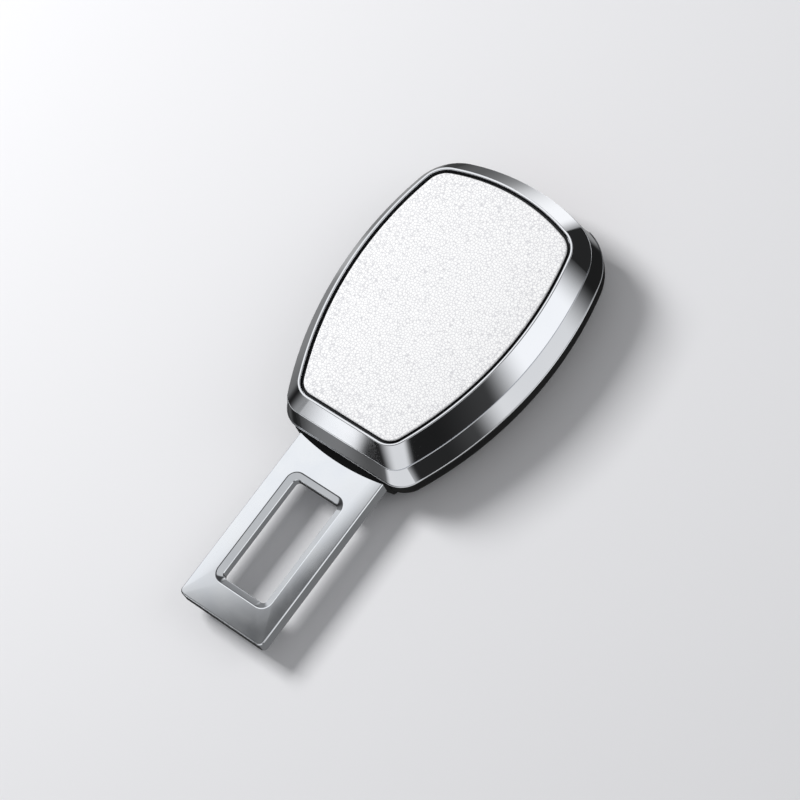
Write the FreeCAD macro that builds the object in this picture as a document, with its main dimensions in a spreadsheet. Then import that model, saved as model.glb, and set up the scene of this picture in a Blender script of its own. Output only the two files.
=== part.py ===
"""Seat belt extender: a steel tongue riveted into a buckle head with a chromed shell, a leather panel
and a push button.

Millimetres. X runs across the width, Y along the object from the tongue's tip towards the mouth, Z up
out of the leather panel. The origin is the middle of the head on the flat back of the cover.
"""
import FreeCAD, Part
import math
import os

import Sketcher

VEC = FreeCAD.Vector

# Driving sizes: name, value, what it is
SIZES = [
    # The head's outline, measured along the crease that runs round the chromed shell
    ("head_length", 66.6, "tongue end to mouth end"),
    ("head_half_width", 24.2, "middle to the widest place of a side"),
    ("widest_ahead", 4.6, "head's middle to its widest place, towards the mouth"),
    ("side_radius", 78.7, "bow of the sides"),
    ("mouth_end_radius", 48.9, "bow of the mouth end"),
    ("tongue_corner", 4.5, "corner radius at the tongue end"),
    ("mouth_corner", 11.3, "corner radius at the mouth end"),
    # The chromed shell
    ("band_height", 5.4, "side band, from its lower edge up to the crease"),
    ("band_flare", 1.4, "how far the band's lower edge stands out from the crease"),
    ("bevel_height", 4.5, "front bevel, from the crease up to the rim"),
    ("bevel_tongue", 3.15, "bevel's width at the tongue end"),
    ("bevel_side", 3.7, "bevel's width along the sides"),
    ("bevel_mouth", 4.25, "bevel's width at the mouth end"),
    ("rim_tongue_corner", 4.3, "corner radius of the panel opening, tongue end"),
    ("rim_mouth_corner", 5.6, "corner radius of the panel opening, mouth end"),
    ("rim_round", 0.35, "rounding of the rim round the panel"),
    ("crease_round", 0.25, "rounding of the crease"),
    ("shell_wall", 1.6, "casting wall of band and bevel"),
    ("shell_floor", 1.1, "casting wall under the panel"),
    ("post_radius", 1.9, "screw posts inside the shell"),
    ("pilot_radius", 1.02, "hole in a post that the screw bites"),
    # The panel
    ("panel_gap", 0.5, "shadow gap between rim and leather"),
    ("panel_drop", 0.1, "leather's edge below the rim"),
    ("leather_thickness", 0.9, "leather with its foam"),
    ("leather_round", 0.35, "rolled edge of the leather"),
    ("board_thickness", 0.9, "stiff board under the leather"),
    ("board_fit", 0.1, "board's gap to the recess wall"),
    ("tape_thickness", 0.2, "adhesive sheet under the board"),
    ("tape_margin", 1.5, "board's edge to the adhesive sheet's edge"),
    # The back cover
    ("cover_floor", 1.8, "cover's flat floor"),
    ("cover_wall", 1.7, "cover's side wall"),
    ("cover_step", 0.1, "cover's edge inside the shell's lower edge"),
    ("cover_taper_height", 4.6, "height over which the cover's side leans in"),
    ("cover_taper", 3.2, "how far the cover's side leans in at the back"),
    ("cover_shoulder_round", 3.0, "rounding where the lean starts"),
    ("cover_back_round", 1.0, "rounding of the back face's edge"),
    ("boss_radius", 2.6, "screw bosses inside the cover"),
    ("counterbore_radius", 1.8, "hole that takes a screw's head"),
    ("counterbore_depth", 4.2, "back face to the seat of a screw's head"),
    ("screw_clearance_radius", 1.25, "hole that a screw passes through"),
    # The screws
    ("screw_radius", 1.0, "shank"),
    ("screw_head_radius", 1.6, "head"),
    ("screw_head_height", 1.3, "head"),
    ("screw_bite", 3.6, "length of screw inside its post"),
    ("screw_slot_width", 0.5, "cross recess in a screw's head"),
    ("screw_slot_depth", 0.6, "cross recess in a screw's head"),
    ("mouth_screw_across", 19.5, "middle to the screws at the mouth half"),
    ("mouth_screw_along", 6.5, "head's middle to the same screws"),
    ("tongue_screw_across", 14.0, "middle to the screws at the tongue half"),
    ("tongue_screw_along", 21.0, "head's middle to the same screws"),
    # The tongue
    ("tongue_width", 22.0, "steel plate"),
    ("tongue_thickness", 3.6, "steel plate"),
    ("tongue_reach", 43.0, "tip to the head's crease"),
    ("tongue_inside", 21.3, "length of plate inside the head"),
    ("tip_bar", 7.6, "tip to the window"),
    ("window_length", 25.1, "window that the car's buckle catches"),
    ("window_width", 11.5, "window that the car's buckle catches"),
    ("window_corner", 1.0, "window's corner radius"),
    ("window_coin_width", 1.4, "slope coined round the window, along the plate's face"),
    ("window_coin_depth", 0.7, "slope coined round the window, into the plate"),
    ("tip_corner", 1.2, "corner radius at the tip"),
    ("tongue_edge_round", 0.3, "rounding of the plate's edges"),
    # The collar round the tongue
    ("collar_lip", 0.6, "collar's lip above the tongue, under the shell"),
    ("collar_reach", 1.65, "how far the lip stands out of the shell at its middle"),
    ("collar_bow_radius", 53.0, "bow of the lip"),
    ("collar_half_width", 12.4, "outside of the collar"),
    ("collar_under", 1.3, "collar below the tongue"),
    ("collar_depth", 3.5, "collar behind the shell's edge"),
    ("collar_flange", 1.4, "flange behind the cover's wall that holds the collar"),
    ("collar_flange_depth", 1.5, "flange's thickness"),
    ("collar_flange_setback", 0.8, "cover's wall to the flange, so that it clears the cover's corners"),
    ("fit_gap", 0.05, "slip fit between still pieces"),
    ("case_gap", 0.2, "gap between still pieces that don't carry each other"),
    # The buckle frame
    ("frame_lift", 0.2, "pads that carry the frame above the cover's floor"),
    ("frame_sheet", 2.0, "steel sheet"),
    ("frame_bend", 1.2, "outer radius of the sheet's bends"),
    ("channel_width", 24.6, "inside the frame's walls"),
    ("channel_height", 4.3, "room for a belt tongue above the frame's floor"),
    ("frame_back", 11.0, "head's middle to where the walls end"),
    ("frame_tail", 27.0, "head's middle to the tail's end"),
    ("tail_width", 22.0, "tail under the tongue"),
    ("ear_length", 6.0, "ears that carry the latch pin"),
    ("ear_rise", 1.7, "ear above the pin's axis"),
    ("peg_radius", 1.4, "pegs of the cover that locate the frame"),
    ("peg_across", 8.0, "middle to a peg"),
    ("peg_along", 18.5, "head's middle to a peg"),
    # The rivets
    ("rivet_radius", 2.0, "shank"),
    ("rivet_head_radius", 3.4, "domed head"),
    ("rivet_head_height", 1.2, "domed head"),
    ("rivet_sink_radius", 3.0, "countersunk foot"),
    ("rivet_sink_depth", 1.0, "countersunk foot"),
    ("rivet_across", 5.5, "middle to a rivet"),
    ("rivet_along", 19.5, "head's middle to a rivet"),
    # The latch
    ("pivot_back", 6.0, "head's middle to the latch pin, towards the tongue"),
    ("pivot_height", 2.6, "pin's axis above the channel"),
    ("pin_radius", 1.0, "latch pin"),
    ("pin_play", 0.05, "latch's hole round the pin"),
    ("pin_head_radius", 1.7, "latch pin's head"),
    ("pin_head_height", 0.7, "latch pin's head"),
    ("pin_end", 0.5, "pin's staked end outside the frame"),
    ("latch_gap", 0.2, "channel to the latch's underside"),
    ("latch_sheet", 1.8, "steel sheet"),
    ("latch_side_gap", 0.5, "latch to the frame's ears, each side"),
    ("latch_heel", 2.5, "latch behind the pin's axis"),
    ("latch_ear_length", 4.0, "ears that turn up beside the frame's"),
    ("latch_ear_rise", 1.5, "latch's ear above the pin's axis"),
    ("tooth_front", 13.3, "head's middle to the tooth's working face"),
    ("tooth_width", 11.0, "tooth that catches the belt tongue"),
    ("tooth_gap", 0.3, "tooth's tip to the frame's floor"),
    ("tooth_ramp", 1.3, "slope that a belt tongue pushes on"),
    ("nose_width", 17.0, "latch plate at the tooth"),
    ("wing_reach", 16.2, "middle to the wing's tip"),
    ("wing_front", 12.0, "head's middle to the wing's front edge"),
    ("wing_length", 3.0, "wing along the latch"),
    ("latch_lift", 9.5, "degrees that the button lifts the latch"),
    # The release button
    ("button_travel", 4.5, "press of the button"),
    ("button_width", 26.2, "head of the button"),
    ("button_low", 0.65, "button's underside above the channel"),
    ("button_height", 3.25, "head of the button"),
    ("button_proud", 0.15, "button's face beyond the crease's outline"),
    ("button_round", 0.5, "rounding of the button's face"),
    ("crossbar_front", 23.2, "head's middle to the crossbar's mouth side"),
    ("crossbar_depth", 3.6, "crossbar that joins the arms"),
    ("arm_gap", 0.4, "frame's wall to an arm"),
    ("arm_width", 1.9, "button's arms"),
    ("arm_drop", 2.4, "arm below the button's underside"),
    ("cam_play", 0.12, "cam to the latch's wing"),
    ("cam_foot", 3.5, "cam's length behind the wing's front edge"),
    ("cam_head", 0.6, "flat on top of the cam"),
    ("spring_bore_radius", 1.3, "bores in the button for its springs"),
    ("spring_bore_depth", 9.0, "bores in the button for its springs"),
    ("spring_across", 8.0, "middle to a button spring"),
    ("spring_wall_front", 14.9, "head's middle to the wall that the springs push on"),
    ("spring_wall_sheet", 1.0, "that wall"),
    ("spring_wall_half_width", 12.6, "that wall"),
    ("spring_peg_radius", 0.5, "pegs that centre the springs"),
    ("spring_peg_length", 1.0, "pegs that centre the springs"),
    # The ejector
    ("ejector_travel", 7.5, "how far a belt tongue pushes it in"),
    ("ejector_gap", 0.3, "tooth's back to the ejector's face"),
    ("ejector_length", 8.0, "plastic slider"),
    ("ejector_width", 22.0, "plastic slider"),
    ("ejector_play", 0.15, "slider to the frame's floor and the channel's top"),
    ("ejector_round", 0.8, "slider's corners"),
    ("keel_width", 4.8, "keel that runs in the frame's slot"),
    ("keel_length", 5.0, "keel that runs in the frame's slot"),
    ("keel_drop", 1.6, "keel below the frame's floor"),
    ("keel_play", 0.2, "keel to the slot, each side"),
    ("ejector_bore_radius", 1.7, "bore for the ejector's spring"),
    ("ejector_bore_depth", 5.0, "bore for the ejector's spring"),
    # The springs: mean coil radius, wire radius, turns
    ("button_coil_radius", 0.9, "button spring"),
    ("button_wire", 0.18, "button spring, wire radius"),
    ("button_turns", 7.0, "button spring"),
    ("ejector_coil_radius", 1.25, "ejector spring"),
    ("ejector_wire", 0.2, "ejector spring, wire radius"),
    ("ejector_turns", 8.0, "ejector spring"),
    ("latch_coil_radius", 1.1, "latch spring"),
    ("latch_wire", 0.18, "latch spring, wire radius"),
    ("latch_turns", 3.5, "latch spring"),
    ("latch_spring_ahead", 6.5, "pin's axis to the latch spring"),
    # The inner housing
    ("deck_thickness", 0.8, "deck under the shell's floor"),
    ("deck_gap", 0.2, "deck to the shell"),
    ("ring_inset", 3.0, "crease to the outside of the housing's wall"),
    ("ring_wall", 1.4, "housing's wall"),
    ("ring_rise", 0.2, "housing's wall above the deck's underside"),
    ("lug_radius", 2.6, "lugs round the screws"),
    ("lug_thickness", 1.0, "lugs round the screws"),
    ("seat_boss_radius", 2.3, "seat of the latch spring"),
    ("seat_boss_drop", 1.2, "seat of the latch spring"),
    ("seat_bore_radius", 1.5, "seat of the latch spring"),
    ("rail_gap", 0.3, "button's arm to the guide rail"),
    ("rail_width", 1.0, "guide rails"),
    ("rail_back", 10.5, "head's middle to the rails' back end"),
    ("rail_mouth", 22.6, "head's middle to the rails' mouth end"),
    ("rib_thickness", 1.2, "ribs that hold tongue and frame down"),
    ("tongue_rib_along", 24.5, "head's middle to the rib over the tongue"),
    ("tongue_rib_half_width", 8.5, "rib over the tongue"),
    # The mouth guide
    ("opening_height", 4.25, "opening in the shell's band above its lower edge"),
    ("guide_lip", 0.8, "guide's lip below the slot"),
    ("guide_bar", 0.45, "guide's bar between slot and button"),
    ("guide_face", 0.3, "guide's face beyond the crease's outline"),
    ("guide_cheek", 0.9, "cheeks beside the button"),
    ("guide_cheek_gap", 0.3, "crossbar at rest to the cheeks' back"),
    ("guide_flange", 1.2, "flanges that hold the guide behind the cover's wall"),
    ("guide_flange_depth", 2.0, "flanges that hold the guide"),
    ("guide_flange_setback", 4.7, "cover's wall at its middle to the flanges, which clear its bow"),
    ("funnel", 0.5, "flare of the slot at its mouth"),
    ("funnel_depth", 3.0, "length of the flare"),
    ("button_side_gap", 0.2, "button to the guide's cheeks"),
]

doc = FreeCAD.newDocument("SeatBeltExtender")
sheet = doc.addObject("Spreadsheet::Sheet", "Sizes")
for row, (name, value, note) in enumerate(SIZES, start=1):
    sheet.set(f"A{row}", name)
    sheet.set(f"B{row}", str(value))
    sheet.set(f"C{row}", note)
    sheet.setAlias(f"B{row}", name)
doc.recompute()


class Size:
    """A length worked out from the sheet: its number now, and the same sum as text for setExpression."""

    def __init__(self, number, text):
        self.number = float(number)
        self.text = text

    @staticmethod
    def of(value):
        return value if isinstance(value, Size) else Size(value, repr(float(value)))

    def __add__(self, other):
        other = Size.of(other)
        return Size(self.number + other.number, f"({self.text} + {other.text})")

    def __radd__(self, other):
        return Size.of(other) + self

    def __sub__(self, other):
        other = Size.of(other)
        return Size(self.number - other.number, f"({self.text} - {other.text})")

    def __rsub__(self, other):
        return Size.of(other) - self

    def __mul__(self, other):
        other = Size.of(other)
        return Size(self.number * other.number, f"({self.text} * {other.text})")

    def __rmul__(self, other):
        return Size.of(other) * self

    def __truediv__(self, other):
        other = Size.of(other)
        return Size(self.number / other.number, f"({self.text} / {other.text})")

    def __neg__(self):
        return Size(-self.number, f"(0 - {self.text})")


def root(size):
    return Size(math.sqrt(size.number), f"sqrt({size.text})")


def sine(degrees):
    return Size(math.sin(math.radians(degrees.number)), f"sin({degrees.text} * 1 deg)")


def cosine(degrees):
    return Size(math.cos(math.radians(degrees.number)), f"cos({degrees.text} * 1 deg)")


class Sheet:
    """The driving sizes by name."""


size = Sheet()
for name, value, note in SIZES:
    setattr(size, name, Size(sheet.get(name), f"Sizes.{name}"))


# Levels above the back face
frame_bottom = size.cover_floor + size.frame_lift
frame_top = frame_bottom + size.frame_sheet
tongue_top = frame_top + size.tongue_thickness
split = tongue_top + size.collar_lip
crease = split + size.band_height
rim = crease + size.bevel_height
leather_bottom = rim - size.panel_drop - size.leather_thickness
board_bottom = leather_bottom - size.board_thickness
shelf = board_bottom - size.tape_thickness
ceiling = shelf - size.shell_floor
channel_top = frame_top + size.channel_height
latch_bottom = channel_top + size.latch_gap
latch_top = latch_bottom + size.latch_sheet
pivot_z = channel_top + size.pivot_height
deck_top = ceiling - size.deck_gap
deck_bottom = deck_top - size.deck_thickness
button_bottom = channel_top + size.button_low
button_top = button_bottom + size.button_height
opening_top = split + size.opening_height

# Places along the object
head_end = size.head_length / 2
tongue_end = -head_end
tip = tongue_end - size.tongue_reach
tongue_back = tongue_end + size.tongue_inside
shell_tongue_end = tongue_end - size.band_flare
pivot_y = -size.pivot_back
cover_mouth_wall = head_end + size.band_flare - size.cover_step - size.cover_wall
guide_back = cover_mouth_wall - size.guide_flange_setback - size.guide_flange_depth
frame_mouth = guide_back - size.case_gap
cheek_back = size.crossbar_front + size.guide_cheek_gap

# Places across the object
channel_half = size.channel_width / 2
frame_half = channel_half + size.frame_sheet
latch_half = channel_half - size.latch_side_gap
arm_inner = frame_half + size.arm_gap
arm_outer = arm_inner + size.arm_width
button_room_half = size.button_width / 2 + size.button_side_gap
guide_half = button_room_half + size.guide_cheek
opening_half = guide_half + size.case_gap

SCREW_PLACES = [
    (size.mouth_screw_across * side, size.mouth_screw_along) for side in (1, -1)
] + [
    (size.tongue_screw_across * side, -size.tongue_screw_along) for side in (1, -1)
]


def new_body(label):
    body = doc.addObject("PartDesign::Body", label)
    body.Label = label
    return body


class Drawing:
    """A sketch on one of a body's own origin planes, at a height, with its dimensions bound to the sheet.

    On the XZ plane the sketch's normal points to -Y, so a place along +Y is minus the offset.
    """

    def __init__(self, body, plane="XY_Plane", height=0, centre=(0, 0)):
        self.body = body
        self.sketch = body.newObject("Sketcher::SketchObject", body.Name + "Sketch")
        base = next(f for f in body.Origin.OriginFeatures if f.Role == plane)
        self.sketch.AttachmentSupport = [(base, "")]
        self.sketch.MapMode = "FlatFace"
        height = Size.of(height)
        offset = -height if plane == "XZ_Plane" else height
        for axis, shift in zip("xyz", (Size.of(centre[0]), Size.of(centre[1]), offset)):
            self.sketch.setExpression(f"AttachmentOffset.Base.{axis}", shift.text)

    def constrain(self, kind, *items, value=None):
        if value is None:
            return self.sketch.addConstraint(Sketcher.Constraint(kind, *items))
        index = self.sketch.addConstraint(Sketcher.Constraint(kind, *items, abs(value.number)))
        self.sketch.setExpression(f"Constraints[{index}]", value.text)
        return index

    def place(self, shape, point, x, y):
        """Holds a point of a shape at x, y from the sketch's origin."""
        for kind, axis, value in (("DistanceX", -2, x), ("DistanceY", -1, y)):
            if abs(value.number) < 1e-9:
                self.constrain("PointOnObject", shape, point, axis)
            elif value.number > 0:
                self.constrain(kind, -1, 1, shape, point, value=value)
            else:
                self.constrain(kind, shape, point, -1, 1, value=-value)

    def polygon(self, points):
        points = [(Size.of(x), Size.of(y)) for x, y in points]
        corners = [VEC(x.number, y.number, 0) for x, y in points]
        sides = [
            self.sketch.addGeometry(Part.LineSegment(corners[i], corners[(i + 1) % len(corners)]))
            for i in range(len(corners))
        ]
        for i, side in enumerate(sides):
            self.constrain("Coincident", side, 2, sides[(i + 1) % len(sides)], 1)
            self.place(side, 1, *points[i])
        return self

    def box(self, x0, x1, y0, y1):
        return self.polygon([(x0, y0), (x1, y0), (x1, y1), (x0, y1)])

    def circle(self, x, y, radius):
        x, y, radius = Size.of(x), Size.of(y), Size.of(radius)
        shape = self.sketch.addGeometry(
            Part.Circle(VEC(x.number, y.number, 0), VEC(0, 0, 1), radius.number)
        )
        self.place(shape, 3, x, y)
        self.constrain("Radius", shape, value=radius)
        return self

    def hexagon(self, x, radius):
        """A wire's section, six-sided because a thin round wire would be most of the model's facets."""
        angles = [math.pi * (k / 3 + 1 / 6) for k in range(6)]
        turns = [(math.cos(a), math.sin(a)) for a in angles]
        return self.polygon([
            (x + radius * round(across, 6), radius * round(up, 6)) for across, up in turns
        ])

    def chain(self, pieces):
        """A closed run of lines and arcs, each tangent to the next.

        A line is ("line", start, end), as numbers. An arc is ("arc", centre, radius, from, to), its centre
        and radius as sizes and its angles in radians.
        """
        shapes = []
        for piece in pieces:
            if piece[0] == "line":
                start, end = piece[1:]
                geometry = Part.LineSegment(VEC(*start, 0), VEC(*end, 0))
            else:
                centre, radius, first, last = piece[1:]
                middle = VEC(centre[0].number, centre[1].number, 0)
                circle = Part.Circle(middle, VEC(0, 0, 1), radius.number)
                geometry = Part.ArcOfCircle(circle, first, last)
            shapes.append(self.sketch.addGeometry(geometry))
        for i, shape in enumerate(shapes):
            self.constrain("Tangent", shape, 2, shapes[(i + 1) % len(shapes)], 1)
        return shapes

    def bow(self, half_width, back, centre_y, radius):
        """A strip across the object with a straight back edge and a bowed outer edge."""
        half_width, back = Size.of(half_width), Size.of(back)
        out = 1 if centre_y.number < back.number else -1
        rise = root(radius * radius - half_width * half_width)
        edge = centre_y + out * rise
        hw, edge_y = half_width.number, edge.number
        right, left = VEC(hw, edge_y, 0), VEC(-hw, edge_y, 0)
        lean = math.asin(hw / radius.number)
        first = (math.pi / 2 if out > 0 else 3 * math.pi / 2) - lean
        circle = Part.Circle(VEC(0, centre_y.number, 0), VEC(0, 0, 1), radius.number)
        arc = self.sketch.addGeometry(Part.ArcOfCircle(circle, first, first + 2 * lean))
        ends = (1, 2) if out > 0 else (2, 1)
        side_left = self.sketch.addGeometry(Part.LineSegment(left, VEC(-hw, back.number, 0)))
        bottom = self.sketch.addGeometry(
            Part.LineSegment(VEC(-hw, back.number, 0), VEC(hw, back.number, 0))
        )
        side_right = self.sketch.addGeometry(Part.LineSegment(VEC(hw, back.number, 0), right))
        self.constrain("Coincident", arc, ends[1], side_left, 1)
        self.constrain("Coincident", side_left, 2, bottom, 1)
        self.constrain("Coincident", bottom, 2, side_right, 1)
        self.constrain("Coincident", side_right, 2, arc, ends[0])
        self.place(arc, 3, Size.of(0), centre_y)
        self.constrain("Radius", arc, value=radius)
        self.constrain("Vertical", side_left)
        self.constrain("Vertical", side_right)
        self.place(bottom, 1, -half_width, back)
        self.place(bottom, 2, half_width, back)
        return self

    def head(self, tongue_inset, side_inset, mouth_inset, tongue_corner, mouth_corner):
        """The head's outline, moved in from the crease by its three insets, with its own corner radii."""
        side_inset, mouth_inset = Size.of(side_inset), Size.of(mouth_inset)
        tongue_corner, mouth_corner = Size.of(tongue_corner), Size.of(mouth_corner)
        side_radius = size.side_radius - side_inset
        end_radius = size.mouth_end_radius - mouth_inset
        side_x = size.side_radius - size.head_half_width
        side_y = size.widest_ahead
        end_y = head_end - size.mouth_end_radius
        floor_y = tongue_end + tongue_inset
        # The tongue end's corner touches the straight end and the side
        corner_y = floor_y + tongue_corner
        reach = side_radius - tongue_corner
        corner_x = root(reach * reach - (corner_y - side_y) * (corner_y - side_y)) - side_x
        # The mouth end's corner touches the side and the bowed end
        reach_side = side_radius - mouth_corner
        reach_end = end_radius - mouth_corner
        gap_y = end_y - side_y
        gap = root(side_x * side_x + gap_y * gap_y)
        along = (reach_side * reach_side - reach_end * reach_end + gap * gap) / (2 * gap)
        off = root(reach_side * reach_side - along * along)
        far_x = along * side_x / gap - off * gap_y / gap - side_x
        far_y = along * gap_y / gap + off * side_x / gap + side_y
        near = math.atan2(corner_y.number - side_y.number, corner_x.number + side_x.number)
        far = math.atan2(far_y.number - side_y.number, far_x.number + side_x.number)
        top = math.atan2(far_y.number - end_y.number, far_x.number)
        down, half = -math.pi / 2, math.pi
        nought = Size.of(0)
        shapes = self.chain([
            ("line", (-corner_x.number, floor_y.number), (corner_x.number, floor_y.number)),
            ("arc", (corner_x, corner_y), tongue_corner, down, near),
            ("arc", (-side_x, side_y), side_radius, near, far),
            ("arc", (far_x, far_y), mouth_corner, far, top),
            ("arc", (nought, end_y), end_radius, top, half - top),
            ("arc", (-far_x, far_y), mouth_corner, half - top, half - far),
            ("arc", (side_x, side_y), side_radius, half - far, half - near),
            ("arc", (-corner_x, corner_y), tongue_corner, half - near, half - down),
        ])
        for shape in (shapes[1], shapes[7]):
            self.constrain("Radius", shape, value=tongue_corner)
        for shape in (shapes[3], shapes[5]):
            self.constrain("Radius", shape, value=mouth_corner)
        for shape in (shapes[2], shapes[6]):
            self.constrain("Radius", shape, value=side_radius)
        self.constrain("Radius", shapes[4], value=end_radius)
        self.place(shapes[2], 3, -side_x, side_y)
        self.place(shapes[6], 3, side_x, side_y)
        self.place(shapes[4], 3, nought, end_y)
        self.constrain("Horizontal", shapes[0])
        self.place_height(shapes[0], floor_y)
        return self

    def place_height(self, shape, y):
        if y.number > 0:
            self.constrain("DistanceY", -1, 1, shape, 1, value=y)
        else:
            self.constrain("DistanceY", shape, 1, -1, 1, value=-y)

    def even_head(self, inset, least_corner=1.0):
        """The head's outline, moved in by the same inset all round. Corners keep a least radius."""
        inset = Size.of(inset)
        corner = size.tongue_corner - inset
        if corner.number < least_corner:
            corner = Size.of(least_corner)
        return self.head(inset, inset, inset, corner, size.mouth_corner - inset)

    def opening(self, inset):
        """The panel opening's outline, moved in by an inset."""
        inset = Size.of(inset)
        return self.head(
            size.bevel_tongue + inset, size.bevel_side + inset, size.bevel_mouth + inset,
            size.rim_tongue_corner - inset, size.rim_mouth_corner - inset,
        )


def volume(body):
    doc.recompute()
    return body.Shape.Volume if not body.Shape.isNull() else 0.0


def feature(kind, body, name, length=None, reverse=False, **settings):
    """Adds a feature to a body, and checks that it adds or takes material."""
    before = volume(body)
    made = body.newObject(f"PartDesign::{kind}", f"{body.Name}{name}")
    for key, value in settings.items():
        setattr(made, key, value)
    if length is not None:
        made.setExpression("Length", Size.of(length).text)
        made.Reversed = reverse
    after = volume(body)
    if "Invalid" in made.State:
        raise RuntimeError(f"{made.Name}: {made.getStatusString()}")
    adds = kind in ("Pad", "AdditiveLoft", "AdditiveHelix", "Revolution")
    takes = kind in ("Pocket", "SubtractiveLoft", "Groove")
    if (adds and after <= before) or (takes and after >= before):
        raise RuntimeError(f"{made.Name} changes nothing: {before:.2f} to {after:.2f}")
    return made


def pad(body, drawing, length, reverse=False):
    return feature("Pad", body, "Pad", length, reverse, Profile=drawing.sketch)


def pocket(body, drawing, length, reverse=False):
    """Cuts against the sketch's normal, or along it when reversed."""
    return feature("Pocket", body, "Pocket", length, reverse, Profile=drawing.sketch)


def loft(body, drawings):
    first, rest = drawings[0].sketch, [d.sketch for d in drawings[1:]]
    return feature("AdditiveLoft", body, "Loft", Profile=first, Sections=rest, Ruled=True)


def hollow(body, drawings):
    first, rest = drawings[0].sketch, [d.sketch for d in drawings[1:]]
    return feature("SubtractiveLoft", body, "Hollow", Profile=first, Sections=rest, Ruled=True)


def edges_of(body, wanted):
    """Names of the body's edges whose points all pass the test."""
    doc.recompute()
    names = []
    for i, edge in enumerate(body.Shape.Edges, start=1):
        first, last = edge.ParameterRange
        points = [edge.valueAt(first + (last - first) * k / 4) for k in range(5)]
        if all(wanted(p) for p in points):
            names.append(f"Edge{i}")
    return names


def dress(kind, body, wanted, value):
    """Rounds or bevels the body's edges that pass the test."""
    names, base = edges_of(body, wanted), body.Tip
    if not names:
        raise RuntimeError(f"{body.Label} has no such edge")
    made = body.newObject(f"PartDesign::{kind}", body.Name + kind)
    made.Base = (base, names)
    made.setExpression("Radius" if kind == "Fillet" else "Size", Size.of(value).text)
    doc.recompute()
    if "Invalid" in made.State:
        raise RuntimeError(f"{made.Name}: {made.getStatusString()}")
    return made


def fillet(body, wanted, radius):
    return dress("Fillet", body, wanted, radius)


def chamfer(body, wanted, width):
    return dress("Chamfer", body, wanted, width)


def near(value, place, slack=0.02):
    return abs(value - Size.of(place).number) < slack


def move(thing, x, y, z):
    for axis, place in zip("xyz", (x, y, z)):
        thing.setExpression(f".Placement.Base.{axis}", Size.of(place).text)


def primitive(kind, name, sizes, place, turn=None):
    """A Part primitive, with its sizes and place bound to the sheet."""
    made = doc.addObject(f"Part::{kind}", name)
    for key, value in sizes.items():
        made.setExpression(key, Size.of(value).text)
    if turn:
        made.Placement.Rotation = FreeCAD.Rotation(*turn)
    move(made, *place)
    return made


def fuse(name, shapes):
    made = doc.addObject("Part::MultiFuse", name)
    made.Shapes = shapes
    return made


def cut(name, base, tool):
    made = doc.addObject("Part::Cut", name)
    made.Base, made.Tool = base, tool
    return made


def group(label, shapes):
    """Identical pieces that share one node, each its own solid."""
    made = doc.addObject("Part::Compound", label)
    made.Links = shapes
    made.Label = label
    return made


# The chromed shell: band, crease and bevel, with a recess for the panel and an opening at the mouth
def bezel_shell():
    body = new_body("bezel_shell")
    loft(body, [
        Drawing(body, height=split).even_head(-size.band_flare),
        Drawing(body, height=crease).even_head(0),
    ])
    loft(body, [
        Drawing(body, height=crease).even_head(0),
        Drawing(body, height=rim).opening(0),
    ])
    fillet(body, lambda p: near(p.z, crease), size.crease_round)
    pocket(body, Drawing(body, height=rim).opening(0.02), rim - shelf)
    # Inside: the wall follows the band, then leans in under the bevel
    inner_crease = crease - 0.2
    hollow(body, [
        Drawing(body, height=split).even_head(size.shell_wall - size.band_flare),
        Drawing(body, height=inner_crease).even_head(size.shell_wall + 0.2),
        ])
    hollow(body, [
        Drawing(body, height=inner_crease).even_head(size.shell_wall + 0.2),
        Drawing(body, height=ceiling).even_head(size.shell_wall + size.bevel_height / 2),
    ])
    # Posts that the screws bite
    post_bottom = split + size.case_gap + size.lug_thickness + size.fit_gap
    for x, y in SCREW_PLACES:
        drawing = Drawing(body, height=post_bottom).circle(x, y, size.post_radius)
        pad(body, drawing, ceiling + size.shell_floor / 2 - post_bottom)
        drawing = Drawing(body, height=post_bottom).circle(x, y, size.pilot_radius)
        pocket(body, drawing, size.screw_bite + 0.3, reverse=True)
    # The opening for mouth and button
    half = opening_half
    drawing = Drawing(body, "XZ_Plane", height=frame_mouth).box(-half, half, split - 1, opening_top)
    pocket(body, drawing, size.head_length / 4)
    return body


def leather_panel():
    body = new_body("leather_panel")
    gap = size.panel_gap
    pad(body, Drawing(body, height=leather_bottom).opening(gap), size.leather_thickness)
    fillet(body, lambda p: near(p.z, leather_bottom + size.leather_thickness), size.leather_round)
    return body


def panel_board():
    body = new_body("panel_board")
    pad(body, Drawing(body, height=board_bottom).opening(size.board_fit), size.board_thickness)
    return body


def panel_tape():
    body = new_body("panel_tape")
    inset = size.board_fit + size.tape_margin
    pad(body, Drawing(body, height=shelf).opening(inset), size.tape_thickness)
    return body


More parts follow.
